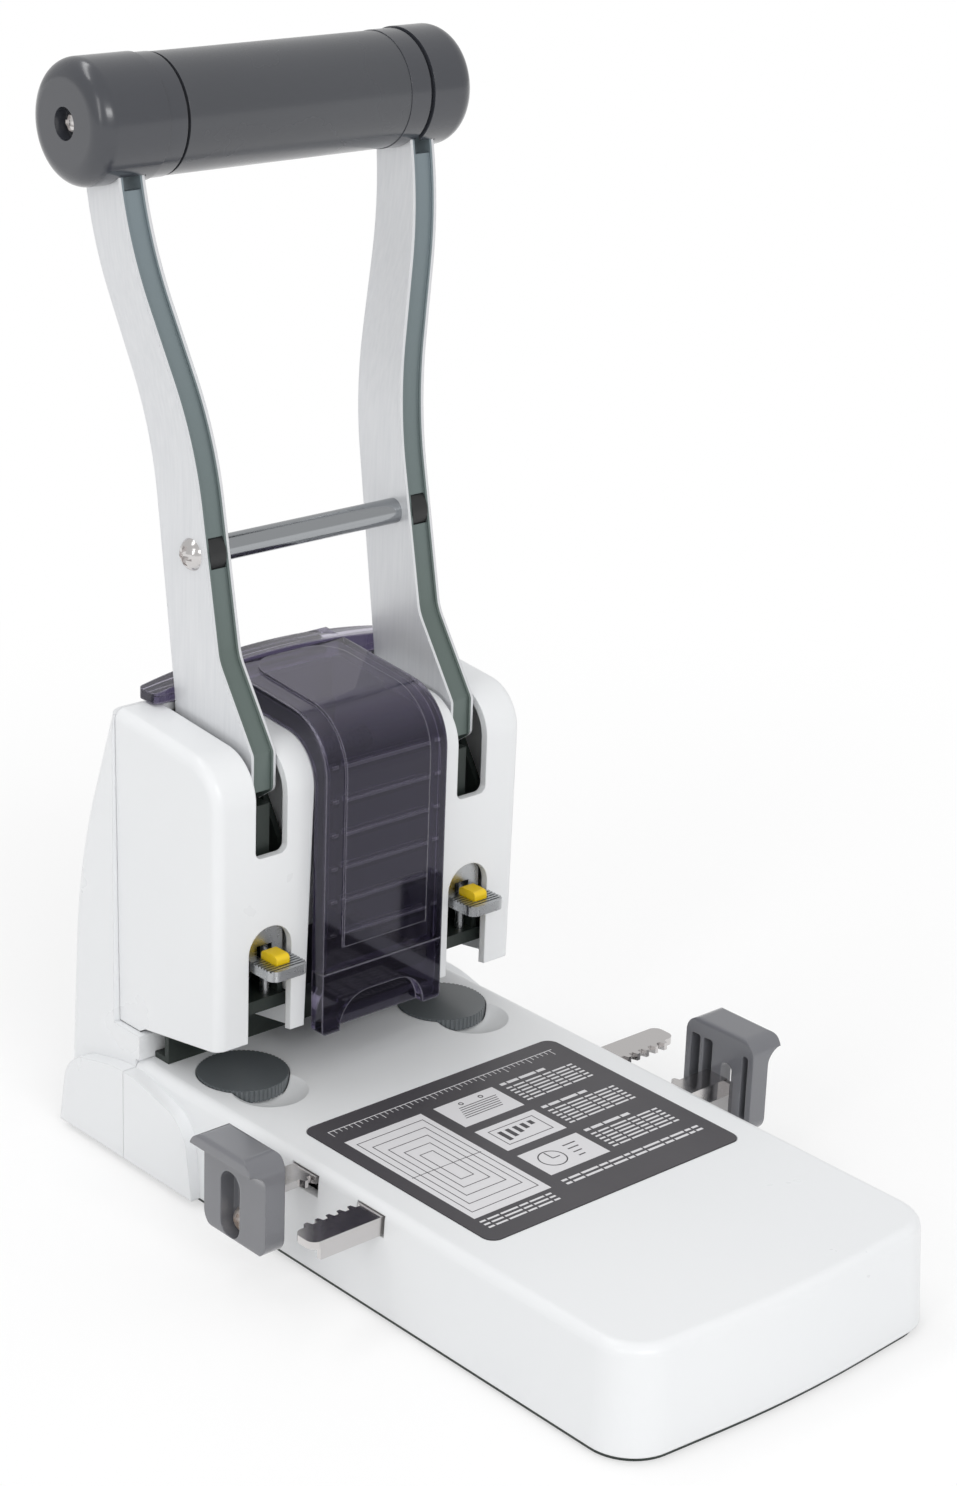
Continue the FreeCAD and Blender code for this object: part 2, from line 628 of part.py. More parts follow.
def tower_side(front, rise, radius, bottom_points, rear_y):
    """Side profile of the columns, or of a piece that runs parallel to them."""
    slope = (TOWER_REAR_TOP_Z - TOWER_FRONT_TOP_Z) / TOWER_REAR_Y
    top_front = TOWER_FRONT_TOP_Z + rise - slope * front
    top_rear = TOWER_FRONT_TOP_Z + rise + slope * rear_y
    points = bottom_points + [(rear_y, top_rear), (-front, top_front)]
    radii = [0] * len(bottom_points) + [0, radius]
    return points, radii


def tower_body(inset):
    bottom = [(inset, TOWER_FRONT_BOTTOM_Z), (TOWER_TOE_Y, TOWER_TOE_Z),
              (TOWER_HEEL_Y, TOWER_REAR_BOTTOM_Z), (TOWER_REAR_Y, TOWER_REAR_BOTTOM_Z)]
    if inset:
        bottom = [(inset, -OVERRUN), (TOWER_REAR_Y + OVERRUN, -OVERRUN)]
    rear = TOWER_REAR_Y + (OVERRUN if inset else 0)
    points, radii = tower_side(-inset, -inset, TOWER_FRONT_RADIUS - inset, bottom, rear)
    side = prism("YZ", points, radii, 0, 2 * TOWER_OUTER_X)
    low = -2 * OVERRUN
    spread = (TOWER_TOP_X_Z - low) / (TOWER_TOP_X_Z - TOWER_REAR_BOTTOM_Z)
    outer_low = TOWER_OUTER_X - (TOWER_OUTER_X - TOWER_FOOT_OUTER_X) * spread
    inner_low = TOWER_INNER_X + (TOWER_FOOT_INNER_X - TOWER_INNER_X) * spread
    front = [(inner_low + inset, low), (outer_low - inset, low),
             (TOWER_OUTER_X - inset, TOWER_TOP_X_Z), (TOWER_INNER_X + inset, TOWER_TOP_X_Z)]
    return side.common(prism("XZ", front, 0, -OVERRUN, TOWER_REAR_Y + 2 * OVERRUN))


def column_cover():
    """Right-hand column cover, with the lever's slot and the arched tab slot."""
    outer = tower_body(0)
    edges = [e for e in outer.Edges
             if e.BoundBox.XMin > TOWER_FOOT_OUTER_X - WALL and e.BoundBox.YMax < TOWER_REAR_Y + SEAM
             and e.BoundBox.ZMax > TOWER_FRONT_BOTTOM_Z + WALL
             and e.BoundBox.YMin < TOWER_REAR_Y - WALL]
    outer = outer.makeFillet(TOWER_EDGE_RADIUS, edges)
    shell = outer.cut(tower_body(WALL))
    lever_slot = prism("XZ", rectangle(COLUMN_X - LEVER_SLOT_HALF, COLUMN_X + LEVER_SLOT_HALF,
                                       LEVER_SLOT_BOTTOM_Z, REAR_TOP_Z + OVERRUN),
                       [LEVER_SLOT_CORNER, LEVER_SLOT_CORNER, 0, 0], -OVERRUN, LEVER_SLOT_REAR_Y)
    arch = TAB_SLOT_HALF - SEAM
    tab_slot = prism("XZ", rectangle(COLUMN_X - TAB_SLOT_HALF, COLUMN_X + TAB_SLOT_HALF, 0, TAB_SLOT_TOP_Z),
                     [0, 0, arch, arch], -OVERRUN, WALL + SEAM)
    deck_room = block(0, DECK_HALF_WIDTH + RUN, DECK_FRONT_Y - RUN, FRAME_LEG_FRONT_Y,
                      DECK_BOTTOM_Z - RUN, DECK_TOP_Z + RUN)
    shaft_room = rod_x(SHAFT_RADIUS + RUN, 0, SHAFT_HALF_LENGTH + RUN, PIVOT_Y, PIVOT_Z)
    return shell.cut([lever_slot, tab_slot, deck_room, shaft_room])


# Steel frame inside the columns

def frame_plate():
    points = [(FRAME_LEG_FRONT_Y, SHELL_BOTTOM_Z), (FRAME_REAR_Y, SHELL_BOTTOM_Z),
              (FRAME_REAR_Y, FRAME_TOP_Z), (FRAME_TOP_FRONT_Y, FRAME_TOP_Z),
              (FRAME_FRONT_Y, FRAME_SHOULDER_Z), (FRAME_FRONT_Y, DECK_TOP_Z),
              (FRAME_LEG_FRONT_Y, DECK_TOP_Z)]
    return prism("YZ", points, [0, 0, FRAME_CORNER, FRAME_CORNER, FRAME_CORNER, 0, 0], 0, PLATE_THICKNESS)


def frame_plates():
    """Right-hand pair of side plates with feet bent outwards onto the bottom plate."""
    bore = rod_x(SHAFT_RADIUS, 0, 2 * SHAFT_HALF_LENGTH, PIVOT_Y, PIVOT_Z)
    plates = []
    for x, way in ((FRAME_INNER_X, -1), (FRAME_OUTER_X, 1)):
        plate = frame_plate()
        plate.translate(vec(x, 0, 0))
        edge = x if way < 0 else x + PLATE_THICKNESS
        foot = block(edge, edge + way * FRAME_FOOT_LENGTH, FRAME_LEG_FRONT_Y, FRAME_REAR_Y,
                     SHELL_BOTTOM_Z, SHELL_BOTTOM_Z + PLATE_THICKNESS)
        plates.append(plate.fuse(foot).removeSplitter().cut(bore))
    return plates


def punch_deck():
    """Steel deck under the frame that guides the cutters."""
    deck = block(-DECK_HALF_WIDTH, DECK_HALF_WIDTH, DECK_FRONT_Y, FRAME_LEG_FRONT_Y - SEAM,
                 DECK_BOTTOM_Z, DECK_TOP_Z)
    holes = both(rod_z(CUTTER_RADIUS + PIN_RUN, 0, REAR_TOP_Z, COLUMN_X, CUTTER_Y))
    for x in guide_rod_places():
        holes += both(rod_z(GUIDE_ROD_RADIUS, guide_rod_foot(), REAR_TOP_Z, x, GUIDE_ROD_Y))
    return deck.cut(holes)


def guide_rod_places():
    return (COLUMN_X - GUIDE_ROD_OFFSET, COLUMN_X + GUIDE_ROD_OFFSET)


def guide_rod_foot():
    return DECK_BOTTOM_Z + SCREW_HEAD_HEIGHT


def guide_rods():
    rods = []
    for x in guide_rod_places():
        rods += both(rod_z(GUIDE_ROD_RADIUS, guide_rod_foot(), GUIDE_ROD_TOP_Z, x, GUIDE_ROD_Y))
    return rods


def pivot_shaft():
    """Lever shaft with a retaining ring on each end."""
    shaft = rod_x(SHAFT_RADIUS, -SHAFT_HALF_LENGTH, SHAFT_HALF_LENGTH, PIVOT_Y, PIVOT_Z)
    ring_x = FRAME_OUTER_X + PLATE_THICKNESS + SEAM / 2
    ring = rod_x(SHAFT_RING_RADIUS, ring_x, ring_x + SHAFT_RING_WIDTH, PIVOT_Y, PIVOT_Z)
    return shaft.fuse(both(ring))


def pivot_bushes():
    """Spacer bushes that keep each arm in the middle between its frame plates."""
    spans = ((FRAME_INNER_X + PLATE_THICKNESS, ARM_X - ARM_HALF_WIDTH - BUSH_RUN),
             (ARM_X + ARM_HALF_WIDTH + BUSH_RUN, FRAME_OUTER_X))
    bushes = []
    for x0, x1 in spans:
        bush = rod_x(BUSH_RADIUS, x0, x1, PIVOT_Y, PIVOT_Z)
        bushes += both(bush.cut(rod_x(SHAFT_RADIUS, x0, x1, PIVOT_Y, PIVOT_Z)))
    return bushes


def paper_rest():
    """Upright strip across the throat that the paper's edge meets."""
    strip = block(-STOP_BAR_HALF_LENGTH, STOP_BAR_HALF_LENGTH, STOP_BAR_Y, STOP_BAR_Y + STOP_BAR_THICKNESS,
                  BASE_TOP_Z, BASE_TOP_Z + STOP_BAR_HEIGHT)
    shelf = block(-STOP_BAR_HALF_LENGTH, STOP_BAR_HALF_LENGTH, STOP_BAR_Y, THROAT_REAR_Y - SEAM,
                  BASE_TOP_Z, BASE_TOP_Z + STOP_BAR_THICKNESS)
    return strip.fuse(shelf).removeSplitter()


def label_panel():
    low = BASE_TOP_Z - LABEL_RECESS
    return prism("XY", rectangle(-LABEL_HALF_WIDTH, LABEL_HALF_WIDTH, LABEL_FRONT_Y, LABEL_REAR_Y),
                 LABEL_CORNER, low, low + LABEL_THICKNESS)


def housing_screws():
    """Screws that hold the frame's feet down to the bottom plate."""
    screws = []
    y = (FRAME_LEG_FRONT_Y + FRAME_REAR_Y) / 2
    top = SHELL_BOTTOM_Z + PLATE_THICKNESS
    reach = FRAME_FOOT_LENGTH / 2
    for x in (FRAME_INNER_X - reach, FRAME_OUTER_X + PLATE_THICKNESS + reach):
        screws += both(rod_z(SCREW_HEAD_RADIUS, top, top + SCREW_HEAD_HEIGHT, x, y))
    return screws


# Lever

def arm_path(offset):
    """Front-view line of one arm: straight, then joggled out to the grip."""
    turn = math.atan((ARM_TOP_X - ARM_X) / (ARM_BEND_HIGH_Z - ARM_BEND_LOW_Z))
    rise = offset * math.tan(turn / 2)
    return [(ARM_X + offset, ARM_HEEL_Z - OVERRUN), (ARM_X + offset, ARM_BEND_LOW_Z - rise),
            (ARM_TOP_X + offset, ARM_BEND_HIGH_Z - rise), (ARM_TOP_X + offset, GRIP_Z + OVERRUN)]


def arm_strip(near, far):
    points = arm_path(near) + arm_path(far)[::-1]
    radii = [0, ARM_BEND_RADIUS + near, ARM_BEND_RADIUS - near, 0,
             0, ARM_BEND_RADIUS - far, ARM_BEND_RADIUS + far, 0]
    return prism("XZ", points, radii, -OVERRUN, GRIP_Y + 2 * OVERRUN)


def arm_front(inset):
    """Front edge of the arm seen from the side, from its nose up to the grip."""
    return [(ARM_FRONT_Y + inset, ARM_FRONT_CUT_Z), (ARM_FRONT_Y + inset, ARM_FRONT_KNEE_Z),
            (ARM_BROW_Y + inset, ARM_BROW_Z), (GRIP_Y - ARM_TOP_HALF_DEPTH + inset, GRIP_Z)]


def arm_side():
    """Side profile of the arm's two flanges."""
    top = GRIP_Z + ARM_TOP_HALF_DEPTH
    grip_front = GRIP_Y - ARM_TOP_HALF_DEPTH
    grip_back = GRIP_Y + ARM_TOP_HALF_DEPTH
    points = [(ARM_HEEL_Y, ARM_HEEL_Z), (ARM_BACK_Y, ARM_HEEL_Z), (ARM_BACK_Y, ARM_BACK_KNEE_Z),
              (grip_back, GRIP_Z), (grip_back, top), (grip_front, top)]
    points += arm_front(0)[::-1]
    radii = [ARM_HEEL_RADIUS, ARM_CORNER, ARM_BACK_RADIUS, 0, ARM_CORNER, ARM_CORNER,
             0, ARM_BROW_RADIUS, ARM_CORNER, ARM_CORNER]
    return prism("YZ", points, radii, 0, 2 * GRIP_HALF_LENGTH)


def arm_web():
    """Side profile of the web, a strip set back a little from the front edge."""
    points = arm_front(ARM_WEB_RECESS) + arm_front(ARM_WEB_RECESS + ARM_WALL)[::-1]
    radii = [0, ARM_CORNER - ARM_WEB_RECESS, ARM_BROW_RADIUS + ARM_WEB_RECESS, 0,
             0, ARM_BROW_RADIUS + ARM_WEB_RECESS, ARM_CORNER - ARM_WEB_RECESS, 0]
    strip = prism("YZ", points, radii, 0, 2 * GRIP_HALF_LENGTH)
    low_grip = GRIP_Z - CAP_RADIUS - RUN
    strip = strip.common(block(0, GRIP_HALF_LENGTH, 0, 2 * GRIP_Y, 0, low_grip))
    return strip.cut(rod_x(BAR_SPACER_RADIUS + RUN, 0, GRIP_HALF_LENGTH, BAR_Y, BAR_Z))


def lever_arm():
    """Right-hand arm: a steel channel, its web to the front and open behind."""
    flange_in = arm_strip(-ARM_HALF_WIDTH, -ARM_HALF_WIDTH + ARM_WALL)
    flange_out = arm_strip(ARM_HALF_WIDTH - ARM_WALL, ARM_HALF_WIDTH)
    side = arm_side()
    web = arm_strip(-ARM_HALF_WIDTH, ARM_HALF_WIDTH).common(arm_web())
    arm = flange_in.common(side).fuse([flange_out.common(side), web]).removeSplitter()
    pin_y, pin_z = drive_pin_place()
    holes = [rod_x(SHAFT_RADIUS + PIN_RUN, 0, 2 * ARM_X, PIVOT_Y, PIVOT_Z),
             rod_x(DRIVE_PIN_RADIUS, 0, 2 * ARM_X, pin_y, pin_z),
             rod_x(BAR_SCREW_RADIUS + PIN_RUN, 0, 2 * ARM_X, BAR_Y, BAR_Z),
             rod_x(GRIP_SCREW_RADIUS + PIN_RUN, 0, 2 * ARM_X, GRIP_Y, GRIP_Z)]
    return arm.cut(holes)


def drive_pin_place():
    angle = math.radians(DRIVE_REST_DEG)
    return PIVOT_Y - DRIVE_ARM * math.cos(angle), PIVOT_Z + DRIVE_ARM * math.sin(angle)


def drive_pins():
    pin_y, pin_z = drive_pin_place()
    pin = rod_x(DRIVE_PIN_RADIUS, ARM_X - ARM_HALF_WIDTH, ARM_X + ARM_HALF_WIDTH, pin_y, pin_z)
    return both(pin)


def crossbar():
    half = ARM_X - ARM_HALF_WIDTH
    bar = rod_x(BAR_RADIUS, -half, half, BAR_Y, BAR_Z)
    screw_end = half - BAR_SCREW_REACH + ARM_HALF_WIDTH * 2
    hole = rod_x(BAR_SCREW_RADIUS, screw_end - SEAM, half + OVERRUN, BAR_Y, BAR_Z)
    return bar.cut(both(hole))


def crossbar_spacers():
    half = ARM_HALF_WIDTH - ARM_WALL
    spacer = rod_x(BAR_SPACER_RADIUS, ARM_X - half, ARM_X + half, BAR_Y, BAR_Z)
    return both(spacer.cut(rod_x(BAR_SCREW_RADIUS + PIN_RUN, 0, 2 * ARM_X, BAR_Y, BAR_Z)))


def pan_head(radius, height, x, y, z, way):
    """Domed screw head seated at x, with a cross recess; way is +1 or -1 along X."""
    dome = (radius ** 2 + height ** 2) / (2 * height)
    ball = Part.makeSphere(dome, vec(x + way * (height - dome), y, z))
    disc = rod_x(radius, min(x, x + way * height), max(x, x + way * height), y, z)
    head = disc.common(ball)
    arm_half = radius / 5
    reach = radius * 3 / 5
    depth = height / 2
    outer = x + way * height
    upright = block(outer - way * depth, outer + way, y - arm_half, y + arm_half, z - reach, z + reach)
    level = block(outer - way * depth, outer + way, y - reach, y + reach, z - arm_half, z + arm_half)
    return head.cut([upright, level])


def crossbar_screws():
    outer = ARM_X + ARM_HALF_WIDTH
    head = pan_head(BAR_HEAD_RADIUS, BAR_HEAD_HEIGHT, outer, BAR_Y, BAR_Z, 1)
    inner = ARM_X - ARM_HALF_WIDTH - BAR_SCREW_REACH + ARM_HALF_WIDTH * 2
    return both(head.fuse(rod_x(BAR_SCREW_RADIUS, inner, outer, BAR_Y, BAR_Z)))


def arm_pocket():
    """Room for both arms' upper ends inside the grip's pieces."""
    reach = ARM_TOP_HALF_DEPTH + RUN * 2
    half = ARM_HALF_WIDTH + RUN
    points = [(ARM_BROW_Y - RUN * 2, ARM_BROW_Z), (ARM_BACK_Y + RUN * 2, ARM_BACK_KNEE_Z),
              (GRIP_Y + reach, GRIP_Z), (GRIP_Y + reach, GRIP_Z + reach),
              (GRIP_Y - reach, GRIP_Z + reach), (GRIP_Y - reach, GRIP_Z)]
    room = prism("YZ", points, 0, 0, 2 * ARM_TOP_X)
    return both(arm_strip(-half, half).common(room))


def grip_piece(radius, x0, x1, bore):
    return rod_x(radius, x0, x1, GRIP_Y, GRIP_Z).cut(rod_x(bore, x0, x1, GRIP_Y, GRIP_Z))


def grip_ring(x0, x1, groove_x):
    """Ring beside the sleeve, with a narrow groove at one end."""
    ring = grip_piece(RING_RADIUS, x0, x1, CORE_RADIUS + PIN_RUN)
    half = GROOVE_WIDTH / 2
    neck = grip_piece(RING_RADIUS + OVERRUN, groove_x - half, groove_x + half, GROOVE_RADIUS)
    return ring.cut(neck).cut(arm_pocket())


def grip_cap(inner_x):
    """Right-hand end cap: rounded rim, pocket for the arm, recess for the screw."""
    cap = rod_x(CAP_RADIUS, inner_x, GRIP_HALF_LENGTH, GRIP_Y, GRIP_Z)
    rim = [e for e in cap.Edges
           if e.BoundBox.XMin > GRIP_HALF_LENGTH - SEAM and e.BoundBox.YLength > CAP_RADIUS]
    cap = cap.makeFillet(CAP_EDGE_RADIUS, rim)
    shoulder = GRIP_HALF_LENGTH - GRIP_SCREW_RECESS - GRIP_SCREW_HEAD_HEIGHT
    cap = cap.cut(arm_pocket())
    cuts = [rod_x(CORE_RADIUS + PIN_RUN, 0, ARM_TOP_X, GRIP_Y, GRIP_Z),
            rod_x(GRIP_SCREW_RADIUS + PIN_RUN, 0, 2 * GRIP_HALF_LENGTH, GRIP_Y, GRIP_Z),
            rod_x(GRIP_SCREW_HOLE_RADIUS, shoulder, 2 * GRIP_HALF_LENGTH, GRIP_Y, GRIP_Z)]
    return cap.cut(cuts)


def grip_core():
    half = ARM_TOP_X - ARM_HALF_WIDTH
    core = rod_x(CORE_RADIUS, -half, half, GRIP_Y, GRIP_Z)
    return core.cut(both(rod_x(GRIP_SCREW_RADIUS, GRIP_SCREW_REACH, half + OVERRUN, GRIP_Y, GRIP_Z)))


def grip_spacers():
    """Short tubes between each arm's flanges that the end screws clamp."""
    half = ARM_HALF_WIDTH - ARM_WALL
    return both(grip_piece(CORE_RADIUS, ARM_TOP_X - half, ARM_TOP_X + half, GRIP_SCREW_RADIUS + PIN_RUN))


def grip_screws():
    seat = GRIP_HALF_LENGTH - GRIP_SCREW_RECESS - GRIP_SCREW_HEAD_HEIGHT
    head = pan_head(GRIP_SCREW_HEAD_RADIUS, GRIP_SCREW_HEAD_HEIGHT, seat, GRIP_Y, GRIP_Z, 1)
    return both(head.fuse(rod_x(GRIP_SCREW_RADIUS, GRIP_SCREW_REACH, seat, GRIP_Y, GRIP_Z)))


# Cutters and what rides with them

def punch_carriage():
    """Right-hand carriage: a clamp block for the cutter and the forked yoke above it."""
    foot = prism("XY", rectangle(COLUMN_X - FOOT_BLOCK_HALF, COLUMN_X + FOOT_BLOCK_HALF,
                                 FOOT_BLOCK_FRONT_Y, FOOT_BLOCK_REAR_Y), SCREW_RADIUS,
                 FOOT_BLOCK_BOTTOM_Z, FOOT_BLOCK_TOP_Z)
    pin_y, pin_z = drive_pin_place()
    slot_half = DRIVE_PIN_RADIUS + YOKE_SLOT_RUN
    lip_y = pin_y - YOKE_LIP_REACH
    spine_y = pin_y + YOKE_SPINE_SETBACK
    lip_z = pin_z - slot_half - YOKE_LIP_THICKNESS
    shoulder_z = pin_z - YOKE_SHOULDER_DROP
    side = [(YOKE_FRONT_Y, FOOT_BLOCK_TOP_Z - SEAM), (YOKE_REAR_Y, FOOT_BLOCK_TOP_Z - SEAM),
            (YOKE_REAR_Y, YOKE_TOP_Z), (lip_y, YOKE_TOP_Z), (lip_y, lip_z),
            (spine_y, lip_z - YOKE_LIP_DROP + YOKE_LIP_THICKNESS), (spine_y, shoulder_z),
            (YOKE_FRONT_Y, shoulder_z)]
    yoke = prism("YZ", side, 0, ARM_X - YOKE_HALF, ARM_X + YOKE_HALF)
    carriage = foot.fuse(yoke)
    fork = prism("YZ", rectangle(-OVERRUN, YOKE_SLOT_REAR_Y, pin_z - slot_half, pin_z + slot_half),
                 [0, slot_half - SEAM, slot_half - SEAM, 0], 0, 2 * COLUMN_X)
    window = block(0, 2 * COLUMN_X, CUTTER_Y - CUTTER_RADIUS - RUN, FOOT_BLOCK_REAR_Y, FOOT_BLOCK_TOP_Z,
                   CHIP_WINDOW_TOP_Z)
    cutter_hole = rod_z(CUTTER_RADIUS, 0, FOOT_BLOCK_TOP_Z, COLUMN_X, CUTTER_Y)
    rods = [rod_z(GUIDE_ROD_RADIUS + PIN_RUN, 0, FOOT_BLOCK_TOP_Z + SEAM, x, GUIDE_ROD_Y)
            for x in guide_rod_places()]
    return carriage.cut([fork, window, cutter_hole] + rods)


def cutter():
    """Hollow cutter with a bevelled mouth."""
    tube = rod_z(CUTTER_RADIUS, CUTTER_TIP_Z, FOOT_BLOCK_TOP_Z, COLUMN_X, CUTTER_Y)
    bore = rod_z(CUTTER_BORE, CUTTER_TIP_Z - OVERRUN, FOOT_BLOCK_TOP_Z + OVERRUN, COLUMN_X, CUTTER_Y)
    mouth = Part.makeCone(CUTTER_RADIUS - SEAM, CUTTER_BORE, CUTTER_BEVEL,
                          vec(COLUMN_X, CUTTER_Y, CUTTER_TIP_Z))
    return tube.cut([bore, mouth])


def return_spring():
    low = DECK_TOP_Z + SPRING_GAP
    high = FOOT_BLOCK_BOTTOM_Z - SPRING_GAP
    outer = rod_z(SPRING_RADIUS, low, high, COLUMN_X, CUTTER_Y)
    return outer.cut(rod_z(SPRING_RADIUS - SPRING_WALL, low, high, COLUMN_X, CUTTER_Y))


def release_tab():
    """Ridged finger tab in front, bent up behind into a holder screwed to the carriage."""
    low = TAB_TOP_Z - TAB_THICKNESS
    tongue = prism("XY", rectangle(COLUMN_X - TAB_HALF, COLUMN_X + TAB_HALF, TAB_FRONT_Y, TAB_REAR_Y),
                   [TAB_CORNER, TAB_CORNER, 0, 0], low, TAB_TOP_Z)
    holder = block(COLUMN_X - TAB_HALF, COLUMN_X + TAB_HALF, TAB_REAR_Y - HOLDER_THICKNESS, TAB_REAR_Y,
                   low, FOOT_BLOCK_TOP_Z)
    tab = tongue.fuse(holder).removeSplitter()
    cut = prism("XY", rectangle(COLUMN_X - TAB_CUT_HALF, COLUMN_X + TAB_CUT_HALF, TAB_CUT_FRONT_Y,
                                TAB_REAR_Y + OVERRUN), [TAB_CUT_CORNER, TAB_CUT_CORNER, 0, 0],
                low - OVERRUN, LATCH_TOP_Z + RUN)
    grooves = []
    for i in range(RIDGE_COUNT):
        y = TAB_FRONT_Y + RIDGE_PITCH * (i + 1)
        grooves.append(block(COLUMN_X - TAB_HALF - RUN, COLUMN_X + TAB_HALF + RUN, y, y + RIDGE_WIDTH,
                             TAB_TOP_Z - RIDGE_DEPTH, TAB_TOP_Z + RUN))
    tab = tab.cut([cut] + grooves)
    return tab


def tab_spacer():
    """Distance piece between the holder and the carriage block."""
    return block(COLUMN_X - TAB_HALF, COLUMN_X + TAB_HALF, TAB_REAR_Y, FOOT_BLOCK_FRONT_Y,
                 FOOT_BLOCK_BOTTOM_Z, FOOT_BLOCK_TOP_Z)


def latch():
    """Coloured release slide in the tab's cut, with a keeper foot under the tab."""
    top = TAB_TOP_Z - TAB_THICKNESS - RUN
    button = prism("YZ", rectangle(LATCH_FRONT_Y, LATCH_REAR_Y, top - RUN, LATCH_TOP_Z),
                   [0, 0, SCREW_RADIUS, SCREW_RADIUS], COLUMN_X - LATCH_HALF, COLUMN_X + LATCH_HALF)
    keeper = block(COLUMN_X - LATCH_KEEPER_HALF, COLUMN_X + LATCH_KEEPER_HALF, LATCH_FRONT_Y, LATCH_REAR_Y,
                   top - LATCH_KEEPER_THICKNESS, top)
    return button.fuse(keeper).removeSplitter()


# Cutting discs

def cutting_disc():
    """Right-hand disc with a knurled rim and a blind hole for its peg."""
    low = DISC_TOP_Z - DISC_THICKNESS
    disc = rod_z(DISC_RADIUS, low, DISC_TOP_Z, DISC_X, DISC_Y)
    notches = []
    for i in range(DISC_KNURL_COUNT):
        angle = 2 * math.pi * i / DISC_KNURL_COUNT
        notches.append(rod_z(DISC_KNURL_RADIUS, low - SEAM, DISC_TOP_Z + SEAM,
                             DISC_X + DISC_RADIUS * math.cos(angle),
                             DISC_Y + DISC_RADIUS * math.sin(angle)))
    hole_top = DISC_TOP_Z - DISC_THICKNESS / 2 + SEAM
    hole = rod_z(DISC_HUB_RADIUS + PIN_RUN, low - SEAM, hole_top, DISC_X, DISC_Y)
    return disc.cut(notches + [hole])


# Side guides

def pinion_radius():
    return PINION_TEETH * TOOTH_PITCH / (2 * math.pi)


def rule_span(rear):
    """Front and rear edge of a rule; its teeth face the pinion."""
    if rear:
        inner = PINION_Y + pinion_radius() - TOOTH_DEPTH / 2 + MESH_RUN
        return inner, inner + TOOTH_DEPTH + RULE_WIDTH
    outer = PINION_Y - pinion_radius() + TOOTH_DEPTH / 2 - MESH_RUN
    return outer - TOOTH_DEPTH - RULE_WIDTH, outer


def guide_rule():
    """Rear rule: toothed strip, edge flange, rounded far end and the stop's end tab."""
    tip_y, back_y = rule_span(True)
    root_y = tip_y + TOOTH_DEPTH
    low = RULE_TOP_Z - RULE_THICKNESS
    near = -STOP_INNER_X
    strip = prism("XY", rectangle(near, RULE_FAR_X, root_y, back_y),
                  [0, RULE_END_RADIUS, RULE_END_RADIUS, 0], low, RULE_TOP_Z)
    flange = block(near, RULE_FAR_X - RULE_END_RADIUS, back_y - FLANGE_THICKNESS, back_y,
                   RULE_TOP_Z - FLANGE_HEIGHT, RULE_TOP_Z - RUN)
    slot_y = back_y - FLANGE_THICKNESS / 2
    tab = block(near, near + FLANGE_THICKNESS, slot_y - END_TAB_HALF, slot_y + END_TAB_HALF / 2,
                END_TAB_BOTTOM_Z, RULE_TOP_Z - RUN)
    rule = strip.fuse([flange, tab]).removeSplitter()
    teeth = []
    first = math.ceil((near + TOOTH_PITCH * 2) / TOOTH_PITCH)
    last = math.floor((RULE_FAR_X - RULE_END_RADIUS) / TOOTH_PITCH)
    for i in range(first, last):
        middle = (i + 0.5) * TOOTH_PITCH
        crest = TOOTH_PITCH * TOOTH_CREST_SHARE / 2
        root = TOOTH_PITCH * TOOTH_ROOT_SHARE / 2
        points = [(middle - root, root_y + RUN), (middle + root, root_y + RUN), (middle + root, root_y),
                  (middle + crest, tip_y), (middle - crest, tip_y), (middle - root, root_y)]
        teeth.append(prism("XY", points, 0, low, RULE_TOP_Z))
    rule = rule.fuse(teeth).removeSplitter()
    return rule.cut(rod_x(SCREW_RADIUS, near - SEAM, near + OVERRUN, slot_y, STOP_SCREW_Z))


def turned(shape):
    """The same piece on the other side of the pinion, half a turn round."""
    other = shape.copy()
    other.rotate(vec(0, PINION_Y, 0), vec(0, 0, 1), math.degrees(math.pi))
    return other


def stop_slot_y():
    return rule_span(True)[1] - FLANGE_THICKNESS / 2


def side_stop(slot_inset):
    """Left-hand stop: slotted plate with an outward lip; slot_inset runs from its rear edge to the slot."""
    rear_y = stop_slot_y() + slot_inset
    front_y = rear_y - STOP_LENGTH
    far = STOP_INNER_X + STOP_PLATE
    lip_low = STOP_TOP_Z - STOP_LIP_HEIGHT
    points = [(-STOP_INNER_X, STOP_BOTTOM_Z), (-far, STOP_BOTTOM_Z), (-far, lip_low),
              (-STOP_LIP_X, lip_low), (-STOP_LIP_X, STOP_TOP_Z), (-STOP_INNER_X, STOP_TOP_Z)]
    curve = STOP_LIP_X - far - SEAM
    radii = [RIB_RADIUS, RIB_RADIUS, curve, 0, RIB_RADIUS, RIB_RADIUS]
    section = prism("XZ", points, radii, front_y, rear_y)
    outline = prism("YZ", rectangle(front_y, rear_y, STOP_BOTTOM_Z, STOP_TOP_Z), STOP_CORNER,
                    -STOP_LIP_X - OVERRUN, 0)
    body = section.common(outline)
    slot_y = stop_slot_y()
    half = STOP_SLOT_WIDTH / 2
    slot_top = STOP_SLOT_BOTTOM_Z + STOP_SLOT_HEIGHT
    slot = prism("YZ", rectangle(slot_y - half, slot_y + half, STOP_SLOT_BOTTOM_Z, slot_top),
                 half - SEAM, -far - OVERRUN, -STOP_INNER_X - STOP_WEB)
    see = STOP_SEE_WIDTH / 2
    see_through = prism("YZ", rectangle(slot_y - see, slot_y + see, STOP_SCREW_Z + SCREW_HEAD_RADIUS,
                                        slot_top - SEAM), see - SEAM, -far, 0)
    hole = rod_x(SCREW_RADIUS, -far, 0, slot_y, STOP_SCREW_Z)
    return body.cut([slot, see_through, hole] + stop_hollows(front_y, rear_y))


